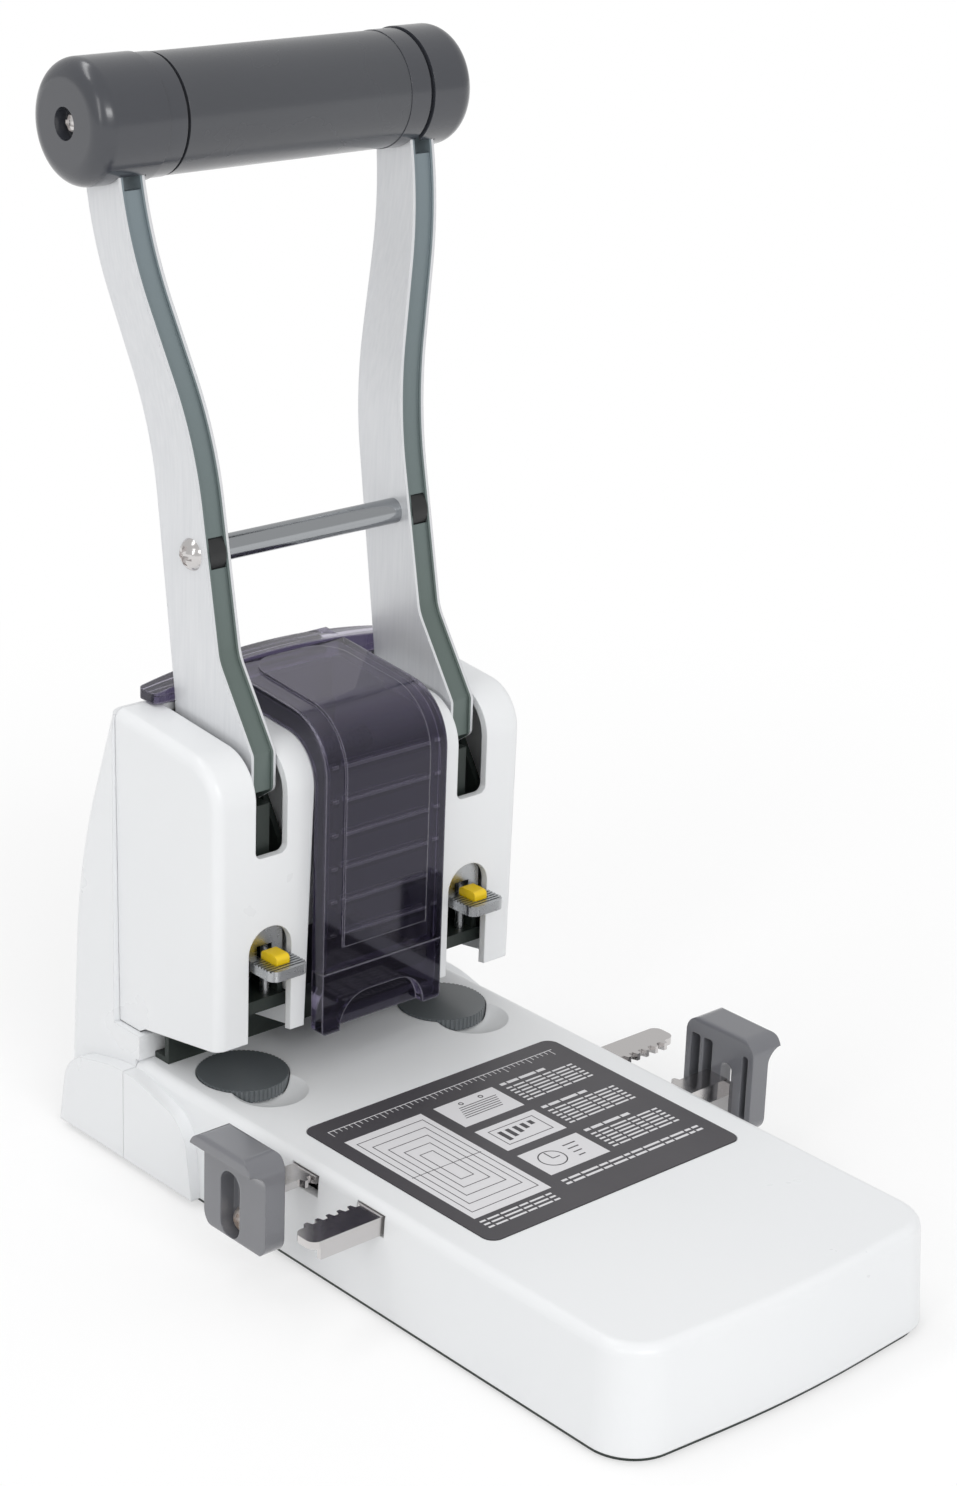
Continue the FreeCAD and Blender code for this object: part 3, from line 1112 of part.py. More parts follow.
def stop_hollows(front_y, rear_y):
    """Upright hollows in the face turned to the machine, on both sides of the slot."""
    slot_y = stop_slot_y()
    wall_y = STOP_SLOT_WIDTH / 2 + STOP_WEB
    low = STOP_BOTTOM_Z + STOP_CORNER
    high = STOP_TOP_Z - STOP_CORNER
    hollows = []
    for y0, y1 in ((front_y + STOP_WALL, slot_y - wall_y), (slot_y + wall_y, rear_y - STOP_WALL)):
        count = max(1, round((y1 - y0) / STOP_HOLLOW_PITCH))
        width = (y1 - y0 - STOP_RIB_WIDTH * (count - 1)) / count
        for i in range(count):
            start = y0 + i * (width + STOP_RIB_WIDTH)
            hollows.append(prism("YZ", rectangle(start, start + width, low, high), STOP_HOLLOW_CORNER,
                                 -STOP_INNER_X - STOP_HOLLOW_DEPTH, 0))
    return hollows


def stop_screw():
    slot_y = stop_slot_y()
    seat = -STOP_INNER_X - STOP_WEB
    head = pan_head(STOP_SCREW_HEAD_RADIUS, STOP_SCREW_HEAD_HEIGHT, seat, slot_y, STOP_SCREW_Z, -1)
    return head.fuse(rod_x(SCREW_RADIUS, seat, -STOP_INNER_X + FLANGE_THICKNESS, slot_y, STOP_SCREW_Z))


def pinion():
    """Spur gear between the two rules; a tooth gap faces each rack tooth."""
    radius = pinion_radius()
    tip = radius + TOOTH_DEPTH / 2 - MESH_RUN
    root = radius - TOOTH_DEPTH / 2 - MESH_RUN
    step = 2 * math.pi / PINION_TEETH
    top = RULE_TOP_Z - RUN
    gear = rod_z(root, top - PINION_THICKNESS, top, 0, PINION_Y)
    teeth = []
    for i in range(PINION_TEETH):
        angle = math.pi / 2 + step * i
        crest = step * TOOTH_CREST_SHARE / 2
        foot = step * TOOTH_ROOT_SHARE / 2
        spots = [(root - RUN, angle - foot), (root, angle - foot), (tip, angle - crest),
                 (tip, angle + crest), (root, angle + foot), (root - RUN, angle + foot)]
        points = [(r * math.cos(a), PINION_Y + r * math.sin(a)) for r, a in spots]
        teeth.append(prism("XY", points, 0, top - PINION_THICKNESS, top))
    gear = gear.fuse(teeth).removeSplitter()
    return gear.cut(rod_z(PINION_POST_RADIUS + PIN_RUN, 0, BASE_TOP_Z, 0, PINION_Y))


def pinion_post():
    """Stepped post from the bottom plate that the pinion turns on."""
    top = RULE_TOP_Z - RUN
    shoulder = top - PINION_THICKNESS - SEAM
    wide = rod_z(PINION_POST_RADIUS * 2, SHELL_BOTTOM_Z, shoulder, 0, PINION_Y)
    return wide.fuse(rod_z(PINION_POST_RADIUS, shoulder, top, 0, PINION_Y))


def rule_guides():
    """Four cradles on the bottom plate that carry the rules at each side."""
    pieces = []
    x0 = GUIDE_RAIL_X
    x1 = GUIDE_RAIL_X + GUIDE_RAIL_LENGTH - WALL
    flange_low = RULE_TOP_Z - FLANGE_HEIGHT
    tip_y, back_y = rule_span(True)
    web_y = back_y - FLANGE_THICKNESS
    for start in (x0, -x1):
        post = block(start, start + x1 - x0, tip_y + TOOTH_DEPTH + RUN, back_y + FLANGE_THICKNESS + RUN,
                     SHELL_BOTTOM_Z, RULE_TOP_Z - RULE_THICKNESS - SEAM)
        groove = block(start - RUN, start + x1 - x0 + RUN, web_y - RUN, back_y + RUN,
                       flange_low - SEAM, BASE_TOP_Z)
        pieces.append(post.cut(groove))
    return pieces + [turned(piece) for piece in pieces]


# Smoked cover

def smoked_profile(inset):
    bottom = [(-SMOKED_FRONT + inset, LIP_SEAM_Z - (OVERRUN if inset else 0)),
              (BAND_REAR_Y, LIP_SEAM_Z - (OVERRUN if inset else 0))]
    return tower_side(SMOKED_FRONT - inset, SMOKED_RISE - inset, SMOKED_RADIUS - inset, bottom, BAND_REAR_Y)


def tower_clearance():
    """The columns' own side profile, grown by the running gap."""
    bottom = [(-SMOKED_GAP, -OVERRUN), (BAND_REAR_Y + OVERRUN, -OVERRUN)]
    points, radii = tower_side(SMOKED_GAP, SMOKED_GAP, TOWER_FRONT_RADIUS + SMOKED_GAP, bottom,
                               BAND_REAR_Y + OVERRUN)
    return prism("YZ", points, radii, -2 * BAND_HALF_LENGTH, 2 * BAND_HALF_LENGTH)


def raised_panel():
    bottom = [(-SMOKED_FRONT - PANEL_PROUD, PANEL_BOTTOM_Z), (PANEL_REAR_Y, PANEL_BOTTOM_Z)]
    points, radii = tower_side(SMOKED_FRONT + PANEL_PROUD, SMOKED_RISE + PANEL_PROUD,
                               SMOKED_RADIUS + PANEL_PROUD, bottom, PANEL_REAR_Y)
    panel = prism("YZ", points, radii, -PANEL_HALF_WIDTH, PANEL_HALF_WIDTH)
    plan = prism("XY", rectangle(-PANEL_HALF_WIDTH, PANEL_HALF_WIDTH, -2 * OVERRUN, PANEL_REAR_Y),
                 [0, 0, PANEL_REAR_RADIUS, PANEL_REAR_RADIUS], 0, BAND_MIDDLE_Z + OVERRUN)
    return panel.common(plan)


def cover_band():
    """Crowned cross band of the T behind the arms."""
    sag = BAND_MIDDLE_Z - BAND_END_Z
    radius = (BAND_HALF_LENGTH ** 2 + sag ** 2) / (2 * sag)
    drum = Part.makeCylinder(radius, BAND_REAR_Y - BAND_FRONT_Y,
                             vec(0, BAND_FRONT_Y, BAND_MIDDLE_Z - radius), vec(0, 1, 0))
    keep = prism("XY", rectangle(-BAND_HALF_LENGTH, BAND_HALF_LENGTH, BAND_FRONT_Y, BAND_REAR_Y),
                 BAND_EDGE_RADIUS, BAND_BOTTOM_Z, BAND_MIDDLE_Z + OVERRUN)
    return drum.common(keep)


def whole_cover():
    """The smoked T in one: stem over the gap between the columns, and its band."""
    points, radii = smoked_profile(0)
    outer = prism("YZ", points, radii, -SMOKED_HALF_WIDTH, SMOKED_HALF_WIDTH)
    outer = outer.fuse(raised_panel())
    inner_points, inner_radii = smoked_profile(SMOKED_WALL)
    hollow = prism("YZ", inner_points, inner_radii,
                   -SMOKED_HALF_WIDTH + SMOKED_WALL, SMOKED_HALF_WIDTH - SMOKED_WALL)
    hollow = hollow.common(block(-BASE_LENGTH, BASE_LENGTH, -OVERRUN, BAND_FRONT_Y, 0, BASE_LENGTH))
    shell = outer.cut(hollow)
    shell = shell.cut(tower_clearance())
    shell = shell.fuse(cover_band())
    ribs = []
    for i in range(COVER_RIB_COUNT):
        z = COVER_RIB_FIRST_Z + i * RIB_PITCH
        ribs.append(block(-PANEL_HALF_WIDTH, PANEL_HALF_WIDTH, -SMOKED_FRONT + SMOKED_WALL - SEAM,
                          -SMOKED_FRONT + SMOKED_WALL + COVER_RIB_DEPTH, z, z + COVER_RIB_HEIGHT))
    shell = shell.fuse(ribs)
    barrel = rod_x(HINGE_RADIUS, -HINGE_BARREL_HALF, HINGE_BARREL_HALF, HINGE_Y, HINGE_Z)
    lug_room = rod_x(HINGE_RADIUS + RUN, HINGE_BARREL_HALF, HINGE_LUG_END_X + RUN, HINGE_Y, HINGE_Z)
    shell = shell.cut(both(lug_room)).fuse(barrel)
    pin_end = HINGE_LUG_END_X + RUN
    return shell.cut(rod_x(HINGE_PIN_RADIUS + PIN_RUN, -pin_end, pin_end, HINGE_Y, HINGE_Z))


def smoked_pieces():
    """The stem and the hinged band, two mouldings joined behind the panel."""
    cover = whole_cover()
    front = block(-BASE_LENGTH, BASE_LENGTH, -BASE_LENGTH, BAND_FRONT_Y, 0, BASE_LENGTH)
    return cover.common(front), cover.cut(front)


def cover_grip_lip():
    """Finger grip under the smoked cover, with a scooped arch."""
    points = rectangle(-SMOKED_HALF_WIDTH, SMOKED_HALF_WIDTH, SMOKED_BOTTOM_Z, LIP_SEAM_Z)
    lip = prism("XZ", points, [SCREW_RADIUS, SCREW_RADIUS, 0, 0], -SMOKED_FRONT, -SMOKED_GAP)
    curve = SCOOP_ARCH_TOP_Z - SMOKED_BOTTOM_Z - SEAM
    arch = prism("XZ", rectangle(-SCOOP_ARCH_HALF, SCOOP_ARCH_HALF, SMOKED_BOTTOM_Z - OVERRUN,
                                 SCOOP_ARCH_TOP_Z), [0, 0, curve, curve],
                 -SMOKED_FRONT - OVERRUN, -SMOKED_FRONT + SCOOP_ARCH_DEPTH)
    return lip.cut(arch)


def main():
    os.makedirs("parts", exist_ok=True)
    save("base_cover", base_cover())
    save("seat_pins", seat_pins())
    save("bottom_plate", bottom_plate())
    save("rubber_feet", rubber_feet())
    save("rear_shell", rear_shell())
    save("cover_hinge_pin", hinge_pin())
    tower = column_cover()
    save("right_column_cover", tower)
    save("left_column_cover", mirrored(tower))
    plates = frame_plates()
    save("right_frame_plates", plates)
    save("left_frame_plates", [mirrored(plate) for plate in plates])
    save("punch_deck", punch_deck())
    save("guide_rods", guide_rods())
    save("pivot_shaft", pivot_shaft())
    save("pivot_bushes", pivot_bushes())
    save("paper_rest", paper_rest())
    save("label_panel", label_panel())
    save("frame_screws", housing_screws())
    arm = lever_arm()
    save("right_arm", arm)
    save("left_arm", mirrored(arm))
    save("drive_pins", drive_pins())
    save("crossbar", crossbar())
    save("crossbar_spacers", crossbar_spacers())
    save("crossbar_screws", crossbar_screws())
    save("grip_core", grip_core())
    save("grip_spacers", grip_spacers())
    save("grip_screws", grip_screws())
    bore = CORE_RADIUS + PIN_RUN
    save("grip_sleeve", grip_piece(SLEEVE_RADIUS, -LEFT_RING_INNER_X, RIGHT_RING_INNER_X, bore))
    left_groove = -LEFT_RING_INNER_X - GROOVE_WIDTH / 2
    save("left_grip_ring", grip_ring(-LEFT_CAP_INNER_X, -LEFT_RING_INNER_X, left_groove))
    right_groove = RIGHT_CAP_INNER_X - GROOVE_WIDTH / 2
    save("right_grip_ring", grip_ring(RIGHT_RING_INNER_X, RIGHT_CAP_INNER_X, right_groove))
    save("left_grip_cap", mirrored(grip_cap(LEFT_CAP_INNER_X)))
    save("right_grip_cap", grip_cap(RIGHT_CAP_INNER_X))
    makers = {"punch_carriage": punch_carriage, "cutter": cutter, "return_spring": return_spring,
              "release_tab": release_tab, "tab_spacer": tab_spacer, "latch": latch,
              "cutting_disc": cutting_disc}
    for name, maker in makers.items():
        shape = maker()
        save("right_" + name, shape)
        save("left_" + name, mirrored(shape))
    rule = guide_rule()
    save("rear_rule", rule)
    save("front_rule", turned(rule))
    save("left_stop", side_stop(LEFT_STOP_SLOT_INSET))
    save("right_stop", turned(side_stop(RIGHT_STOP_SLOT_INSET)))
    screw = stop_screw()
    save("left_stop_screw", screw)
    save("right_stop_screw", turned(screw))
    save("pinion", pinion())
    save("pinion_post", pinion_post())
    save("rule_guides", rule_guides())
    stem, band = smoked_pieces()
    save("smoked_cover", stem)
    save("cover_band", band)
    save("cover_grip_lip", cover_grip_lip())


main()
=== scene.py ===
import bpy
import bmesh
import math
from mathutils import Matrix, Vector


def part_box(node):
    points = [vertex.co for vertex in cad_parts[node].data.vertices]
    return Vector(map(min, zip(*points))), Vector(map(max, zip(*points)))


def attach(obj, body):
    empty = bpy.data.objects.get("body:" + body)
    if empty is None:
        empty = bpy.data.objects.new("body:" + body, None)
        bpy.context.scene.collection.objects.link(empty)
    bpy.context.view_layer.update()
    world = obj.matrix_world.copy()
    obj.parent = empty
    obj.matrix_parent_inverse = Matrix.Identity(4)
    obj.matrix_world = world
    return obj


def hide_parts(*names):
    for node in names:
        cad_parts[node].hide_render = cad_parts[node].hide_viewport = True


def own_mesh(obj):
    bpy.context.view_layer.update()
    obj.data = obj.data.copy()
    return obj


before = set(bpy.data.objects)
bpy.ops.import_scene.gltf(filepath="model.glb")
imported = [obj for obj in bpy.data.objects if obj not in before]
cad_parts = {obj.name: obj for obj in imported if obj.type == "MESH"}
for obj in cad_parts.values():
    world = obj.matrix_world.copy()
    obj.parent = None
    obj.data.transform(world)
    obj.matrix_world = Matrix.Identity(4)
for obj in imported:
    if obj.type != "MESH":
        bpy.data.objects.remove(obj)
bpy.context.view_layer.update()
scene = bpy.context.scene

# The table and the light around the punch. A pale, matt studio table keeps the punch's shadow and runs off
# into a white background, and large soft lamps stand at the left, in front and above.


def linear(hex_colour):
    """An sRGB hex value as linear red, green, blue and alpha."""
    channels = [int(hex_colour[i:i + 2], 16) / 255 for i in (1, 3, 5)]
    return [c / 12.92 if c <= 0.04045 else ((c + 0.055) / 1.055) ** 2.4 for c in channels] + [1.0]


def add(tree, kind, settings=None, links=None):
    """One shader node: settings are its own properties, links its inputs as values or sockets."""
    made = tree.nodes.new(kind)
    for name, value in (settings or {}).items():
        setattr(made, name, value)
    for name, value in (links or {}).items():
        if isinstance(value, bpy.types.NodeSocket):
            tree.links.new(value, made.inputs[name])
        else:
            made.inputs[name].default_value = value
    return made


def blank_material(name):
    """A new material and its node tree, with no node in it yet."""
    material = bpy.data.materials.new(name)
    material.use_nodes = True
    material.node_tree.nodes.clear()
    return material, material.node_tree


def keep(name, mesh, material):
    """A new object in the scene from a mesh, with its material."""
    piece = bpy.data.objects.new(name, mesh)
    scene.collection.objects.link(piece)
    mesh.materials.append(material)
    return piece


half_table = 7.0
shadow_reach = 0.15
white_reach = 0.60
table_paint, tree = blank_material("matt white table")
rays = add(tree, "ShaderNodeLightPath")
seen = add(tree, "ShaderNodeMath", {"operation": "MAXIMUM"},
           {0: rays.outputs["Is Camera Ray"], 1: rays.outputs["Is Glossy Ray"]})
seen = add(tree, "ShaderNodeMath", {"operation": "MAXIMUM"},
           {0: seen.outputs[0], 1: rays.outputs["Is Transmission Ray"]})
place = add(tree, "ShaderNodeTexCoord")
reach = add(tree, "ShaderNodeVectorMath", {"operation": "LENGTH"}, {0: place.outputs["Object"]})
sweep = add(tree, "ShaderNodeMapRange", {"interpolation_type": "SMOOTHSTEP"},
            {"Value": reach.outputs["Value"], "From Min": shadow_reach, "From Max": white_reach,
             "To Min": 0.50, "To Max": 1.0})
whiteness = add(tree, "ShaderNodeMath", {"operation": "MULTIPLY"},
                {0: seen.outputs[0], 1: sweep.outputs["Result"]})
paint = add(tree, "ShaderNodeBsdfDiffuse", None, {"Color": linear("#f6f6f6"), "Roughness": 0.6})
sweep_white = add(tree, "ShaderNodeEmission", None, {"Color": linear("#ffffff"), "Strength": 1.0})
table_shade = add(tree, "ShaderNodeMixShader", None,
                  {0: whiteness.outputs[0], 1: paint.outputs[0], 2: sweep_white.outputs[0]})
add(tree, "ShaderNodeOutputMaterial", None, {"Surface": table_shade.outputs[0]})

table_mesh = bpy.data.meshes.new("studio_table")
table_corners = [(-half_table, -half_table, 0), (half_table, -half_table, 0), (half_table, half_table, 0),
                 (-half_table, half_table, 0)]
table_mesh.from_pydata(table_corners, [], [(0, 1, 2, 3)])
keep("studio_table", table_mesh, table_paint)

fill_level = 0.74
mirror_level = 0.66
world = bpy.data.worlds.new("white studio")
scene.world = world
world.use_nodes = True
world.node_tree.nodes.clear()
tree = world.node_tree
rays = add(tree, "ShaderNodeLightPath")
direct = add(tree, "ShaderNodeMath", {"operation": "MAXIMUM"},
             {0: rays.outputs["Is Camera Ray"], 1: rays.outputs["Is Transmission Ray"]})
mirrored = add(tree, "ShaderNodeMapRange", None,
               {"Value": rays.outputs["Is Glossy Ray"], "To Min": fill_level, "To Max": mirror_level})
level = add(tree, "ShaderNodeMix", None,
            {"Factor": direct.outputs[0], "A": mirrored.outputs["Result"], "B": 1.0})
sky = add(tree, "ShaderNodeBackground", None,
          {"Color": linear("#ffffff"), "Strength": level.outputs["Result"]})
add(tree, "ShaderNodeOutputWorld", None, {"Surface": sky.outputs[0]})


def softbox(name, place, target, width, height, power):
    """A rectangular lamp that faces its target."""
    lamp = bpy.data.lights.new(name, "AREA")
    lamp.shape = "RECTANGLE"
    lamp.size = width
    lamp.size_y = height
    lamp.energy = power
    stand = bpy.data.objects.new(name, lamp)
    stand.location = place
    stand.rotation_euler = (Vector(target) - Vector(place)).to_track_quat("-Z", "Y").to_euler()
    scene.collection.objects.link(stand)


softbox("left softbox", place=(-1.6, -0.5, 0.9), target=(0, 0, 0.15), width=0.30, height=1.0, power=2.6)
softbox("front softbox", place=(-0.5, -1.5, 1.0), target=(0, 0, 0.06), width=1.0, height=0.4, power=8.5)
softbox("top softbox", place=(-0.3, 0.6, 1.6), target=(0, 0, 0.15), width=1.4, height=0.25, power=4.4)

# The view. The camera stands where the photograph was taken from, left of the machine and a little above it.
# Its place and its turn were worked out from the machine's own straight edges.
camera_place = (-0.59283, -0.64075, 0.48871)
yaw = math.radians(42.395)
pitch = math.radians(20.863)
roll = math.radians(2.101)
camera_data = bpy.data.cameras.new("camera")
camera_data.sensor_fit = "VERTICAL"
camera_data.sensor_height = 36.0
camera_data.lens = 77.74
camera_data.clip_end = 30.0
camera = bpy.data.objects.new("camera", camera_data)
scene.collection.objects.link(camera)
scene.camera = camera
ahead = Vector((math.sin(yaw) * math.cos(pitch), math.cos(yaw) * math.cos(pitch), -math.sin(pitch)))
level_right = ahead.cross(Vector((0, 0, 1))).normalized()
level_up = level_right.cross(ahead)
right = level_right * math.cos(roll) + level_up * math.sin(roll)
up = level_up * math.cos(roll) - level_right * math.sin(roll)
turned_axes = Matrix((right, up, -ahead)).transposed().to_4x4()
camera.matrix_world = Matrix.Translation(camera_place) @ turned_axes

# Base and column covers: injection-moulded ABS in a cool white, with the fine satin grain of an eroded mould
# and faint cloudiness where the melt flowed. The covers clip and screw together, so thin seams show between
# them.


def place_texture(tree, size_mm, detail=2.0):
    """A noise pattern whose spots are about size_mm across on the real piece."""
    place = add(tree, "ShaderNodeTexCoord")
    waves_per_metre = 1000.0 / (2 * size_mm)
    return add(tree, "ShaderNodeTexNoise", None,
               {"Vector": place.outputs["Object"], "Scale": waves_per_metre, "Detail": detail})


def dress(names, material):
    """The material on every slot of the named pieces."""
    for name in names:
        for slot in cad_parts[name].material_slots:
            slot.material = material


def moulded(name, colour, cloud_colour, roughness, grain_mm, grain_height, edge_mm=0.5, coat=0.0):
    """Moulded plastic: clouded colour, grain, rounded edges, and a sheen that handling has varied.

    The real grain is about 0.2 mm across. It is drawn coarser, so that it shows.
    """
    cloud_mm = 45.0
    handled_mm = 14.0
    material, tree = blank_material(name)
    clouds = place_texture(tree, cloud_mm, detail=3.0)
    tint = add(tree, "ShaderNodeMix", {"data_type": "RGBA"},
               {"Factor": clouds.outputs["Fac"], "A": linear(colour), "B": linear(cloud_colour)})
    handling = place_texture(tree, handled_mm, detail=4.0)
    wear = add(tree, "ShaderNodeMapRange", None,
               {"Value": handling.outputs["Fac"], "From Min": 0.3, "From Max": 0.7,
                "To Min": roughness - 0.05, "To Max": roughness + 0.06})
    grain = place_texture(tree, grain_mm, detail=1.0)
    edge = add(tree, "ShaderNodeBevel", {"samples": 8}, {"Radius": edge_mm / 1000})
    bump = add(tree, "ShaderNodeBump", None,
               {"Height": grain.outputs["Fac"], "Distance": grain_height, "Strength": 0.35,
                "Normal": edge.outputs["Normal"]})
    shade = add(tree, "ShaderNodeBsdfPrincipled", None,
                {"Base Color": tint.outputs["Result"], "Roughness": wear.outputs["Result"], "IOR": 1.52,
                 "Coat Weight": coat, "Coat Roughness": 0.15, "Normal": bump.outputs["Normal"]})
    add(tree, "ShaderNodeOutputMaterial", None, {"Surface": shade.outputs[0]})
    return material


white_abs = moulded("white moulded ABS", "#eeeff0", "#e9ebed", roughness=0.32, grain_mm=0.9,
                    grain_height=0.00005)
dress(["base_cover", "rear_shell", "left_column_cover", "right_column_cover"], white_abs)

# Bottom plate, steel frame and what is bolted to it: pressed sheet steel in a dark protective paint with a
# slightly pebbled film, seen only in the slots and the throat. The bushes, rule guides, crossbar spacers and
# pinion are dull black moulded nylon, and the feet are rubber with no shine.


def painted(name, colour, worn_colour, roughness, metallic):
    """Painted metal: a pebbled film and patches where it has worn paler."""
    pebble_mm = 1.6
    patch_mm = 18.0
    material, tree = blank_material(name)
    film = place_texture(tree, pebble_mm, detail=3.0)
    patches = place_texture(tree, patch_mm, detail=5.0)
    spread = add(tree, "ShaderNodeMapRange", None,
                 {"Value": patches.outputs["Fac"], "From Min": 0.35, "From Max": 0.75})
    tint = add(tree, "ShaderNodeMix", {"data_type": "RGBA"},
               {"Factor": spread.outputs["Result"], "A": linear(colour), "B": linear(worn_colour)})
    bump = add(tree, "ShaderNodeBump", None,
               {"Height": film.outputs["Fac"], "Distance": 0.00004, "Strength": 0.4})
    shade = add(tree, "ShaderNodeBsdfPrincipled", None,
                {"Base Color": tint.outputs["Result"], "Roughness": roughness, "Metallic": metallic,
                 "Normal": bump.outputs["Normal"]})
    add(tree, "ShaderNodeOutputMaterial", None, {"Surface": shade.outputs[0]})
    return material


dark_sheet = painted("dark painted sheet steel", "#2b322f", "#39403c", roughness=0.42, metallic=0.2)
black_nylon = moulded("black moulded nylon", "#1c1d1e", "#232425", roughness=0.45, grain_mm=0.6,
                      grain_height=0.00003)
foot_rubber = moulded("moulded rubber", "#1a1a1b", "#222223", roughness=0.8, grain_mm=0.4,
                      grain_height=0.00006)
dress(["bottom_plate", "left_frame_plates", "right_frame_plates", "punch_deck", "paper_rest",
       "left_punch_carriage", "right_punch_carriage"], dark_sheet)
dress(["pivot_bushes", "rule_guides", "crossbar_spacers", "pinion"], black_nylon)
dress(["rubber_feet"], foot_rubber)

# Lever arms: channels pressed from sheet steel, satin silver outside. The web between the two flanges faces
# forward and is coloured grey-green, darker towards the columns. Its edges follow the bend of the arm, two
# arcs with a straight between them.
arm_low, arm_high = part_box("right_arm")
arm_half = 0.0046
flange_edge = 0.0009
low_bend_z = 0.2327
high_bend_z = 0.2920
bend_radius = 0.150
column_top_z = 0.17
web_lightest_z = 0.31
strokes_across = 900.0
strokes_along = 60.0
arm_lacquer, tree = blank_material("satin silver lacquer")
place = add(tree, "ShaderNodeTexCoord")
spot = add(tree, "ShaderNodeSeparateXYZ", None, {0: place.outputs["Object"]})


def reckon(operation, *values):
    """The result of one sum on shader values, in the tree at hand."""
    return add(tree, "ShaderNodeMath", {"operation": operation}, dict(enumerate(values))).outputs[0]


def along(start, length):
    """How far up the arm's bend a point lies, from 0 to length."""
    run = add(tree, "ShaderNodeMapRange", None,
              {"Value": spot.outputs["Z"], "From Min": start, "From Max": start + length, "To Max": length})
    return run.outputs["Result"]


def drop(run):
    """How far an arc of the bend radius has fallen short of it after that run."""
    return reckon("SQRT", reckon("SUBTRACT", bend_radius ** 2, reckon("MULTIPLY", run, run)))


low_x = arm_low.x + arm_half
joggle = arm_high.x - arm_half - low_x
lean = math.atan(joggle / (high_bend_z - low_bend_z))
tangent = bend_radius * math.tan(lean / 2)
arc_rise = bend_radius * math.sin(lean)
straight_rise = high_bend_z - low_bend_z - 2 * tangent * math.cos(lean)
first_arc = reckon("SUBTRACT", bend_radius, drop(along(low_bend_z - tangent, arc_rise)))
straight = reckon("MULTIPLY", along(low_bend_z + tangent * math.cos(lean), straight_rise), math.tan(lean))
left_over = reckon("SUBTRACT", arc_rise, along(high_bend_z - tangent * math.cos(lean), arc_rise))
second_arc = reckon("SUBTRACT", drop(left_over), bend_radius * math.cos(lean))
middle = reckon("ADD", reckon("ADD", low_x, first_arc), reckon("ADD", straight, second_arc))
off_middle = reckon("ABSOLUTE", reckon("SUBTRACT", reckon("ABSOLUTE", spot.outputs["X"]), middle))
on_web = reckon("LESS_THAN", off_middle, arm_half - flange_edge)
brushing = add(tree, "ShaderNodeMapping", None,
               {"Vector": place.outputs["Object"], "Scale": (strokes_across, strokes_across, strokes_along)})
strokes = add(tree, "ShaderNodeTexNoise", None, {"Vector": brushing.outputs[0], "Scale": 1.0, "Detail": 3.0})
lacquer = add(tree, "ShaderNodeMix", {"data_type": "RGBA"},
              {"Factor": strokes.outputs["Fac"], "A": linear("#e5e6e8"), "B": linear("#d6d8db")})
# The web's colour runs from darker near the column tops to paler higher up the arm.
height = add(tree, "ShaderNodeMapRange", None,
             {"Value": spot.outputs["Z"], "From Min": column_top_z, "From Max": web_lightest_z})
web_grey_green = add(tree, "ShaderNodeMix", {"data_type": "RGBA"},
              {"Factor": height.outputs["Result"], "A": linear("#67736f"), "B": linear("#838f95")})
tint = add(tree, "ShaderNodeMix", {"data_type": "RGBA"},
           {"Factor": on_web, "A": lacquer.outputs["Result"], "B": web_grey_green.outputs["Result"]})
sheen = add(tree, "ShaderNodeMapRange", None,
            {"Value": strokes.outputs["Fac"], "To Min": 0.30, "To Max": 0.44})
edge = add(tree, "ShaderNodeBevel", {"samples": 4}, {"Radius": 0.0003})
bump = add(tree, "ShaderNodeBump", None,
           {"Height": strokes.outputs["Fac"], "Distance": 0.00001, "Strength": 0.3,
            "Normal": edge.outputs["Normal"]})
arm_shade = add(tree, "ShaderNodeBsdfPrincipled", None,
                {"Base Color": tint.outputs["Result"], "Roughness": sheen.outputs["Result"],
                 "Metallic": 0.35, "Normal": bump.outputs["Normal"]})
add(tree, "ShaderNodeOutputMaterial", None, {"Surface": arm_shade.outputs[0]})
dress(["left_arm", "right_arm"], arm_lacquer)

# Pins, shaft, rods, cutters, release tabs, rules and screws: turned, drawn or ground steel, bare or plated.
# Fine tool lines break the mirror of the bright ones, and the zinc on the stops' screws is dull. The pins are
# pressed in, and the rules slide in the base.


def turned_steel(name, colour, roughness, lines_mm):
    """Bright metal with fine tool lines and a slightly uneven sheen; the lines are coarsened to show."""
    material, tree = blank_material(name)
    place = add(tree, "ShaderNodeTexCoord")
    lines = add(tree, "ShaderNodeTexNoise", None,
                {"Vector": place.outputs["Object"], "Scale": 1000.0 / lines_mm, "Detail": 2.0})
    sheen = add(tree, "ShaderNodeMapRange", None,
                {"Value": lines.outputs["Fac"], "To Min": roughness - 0.06, "To Max": roughness + 0.08})
    bump = add(tree, "ShaderNodeBump", None,
               {"Height": lines.outputs["Fac"], "Distance": 0.00001, "Strength": 0.3})
    shade = add(tree, "ShaderNodeBsdfPrincipled", None,
                {"Base Color": linear(colour), "Metallic": 1.0, "Roughness": sheen.outputs["Result"],
                 "Normal": bump.outputs["Normal"]})
    add(tree, "ShaderNodeOutputMaterial", None, {"Surface": shade.outputs[0]})
    return material


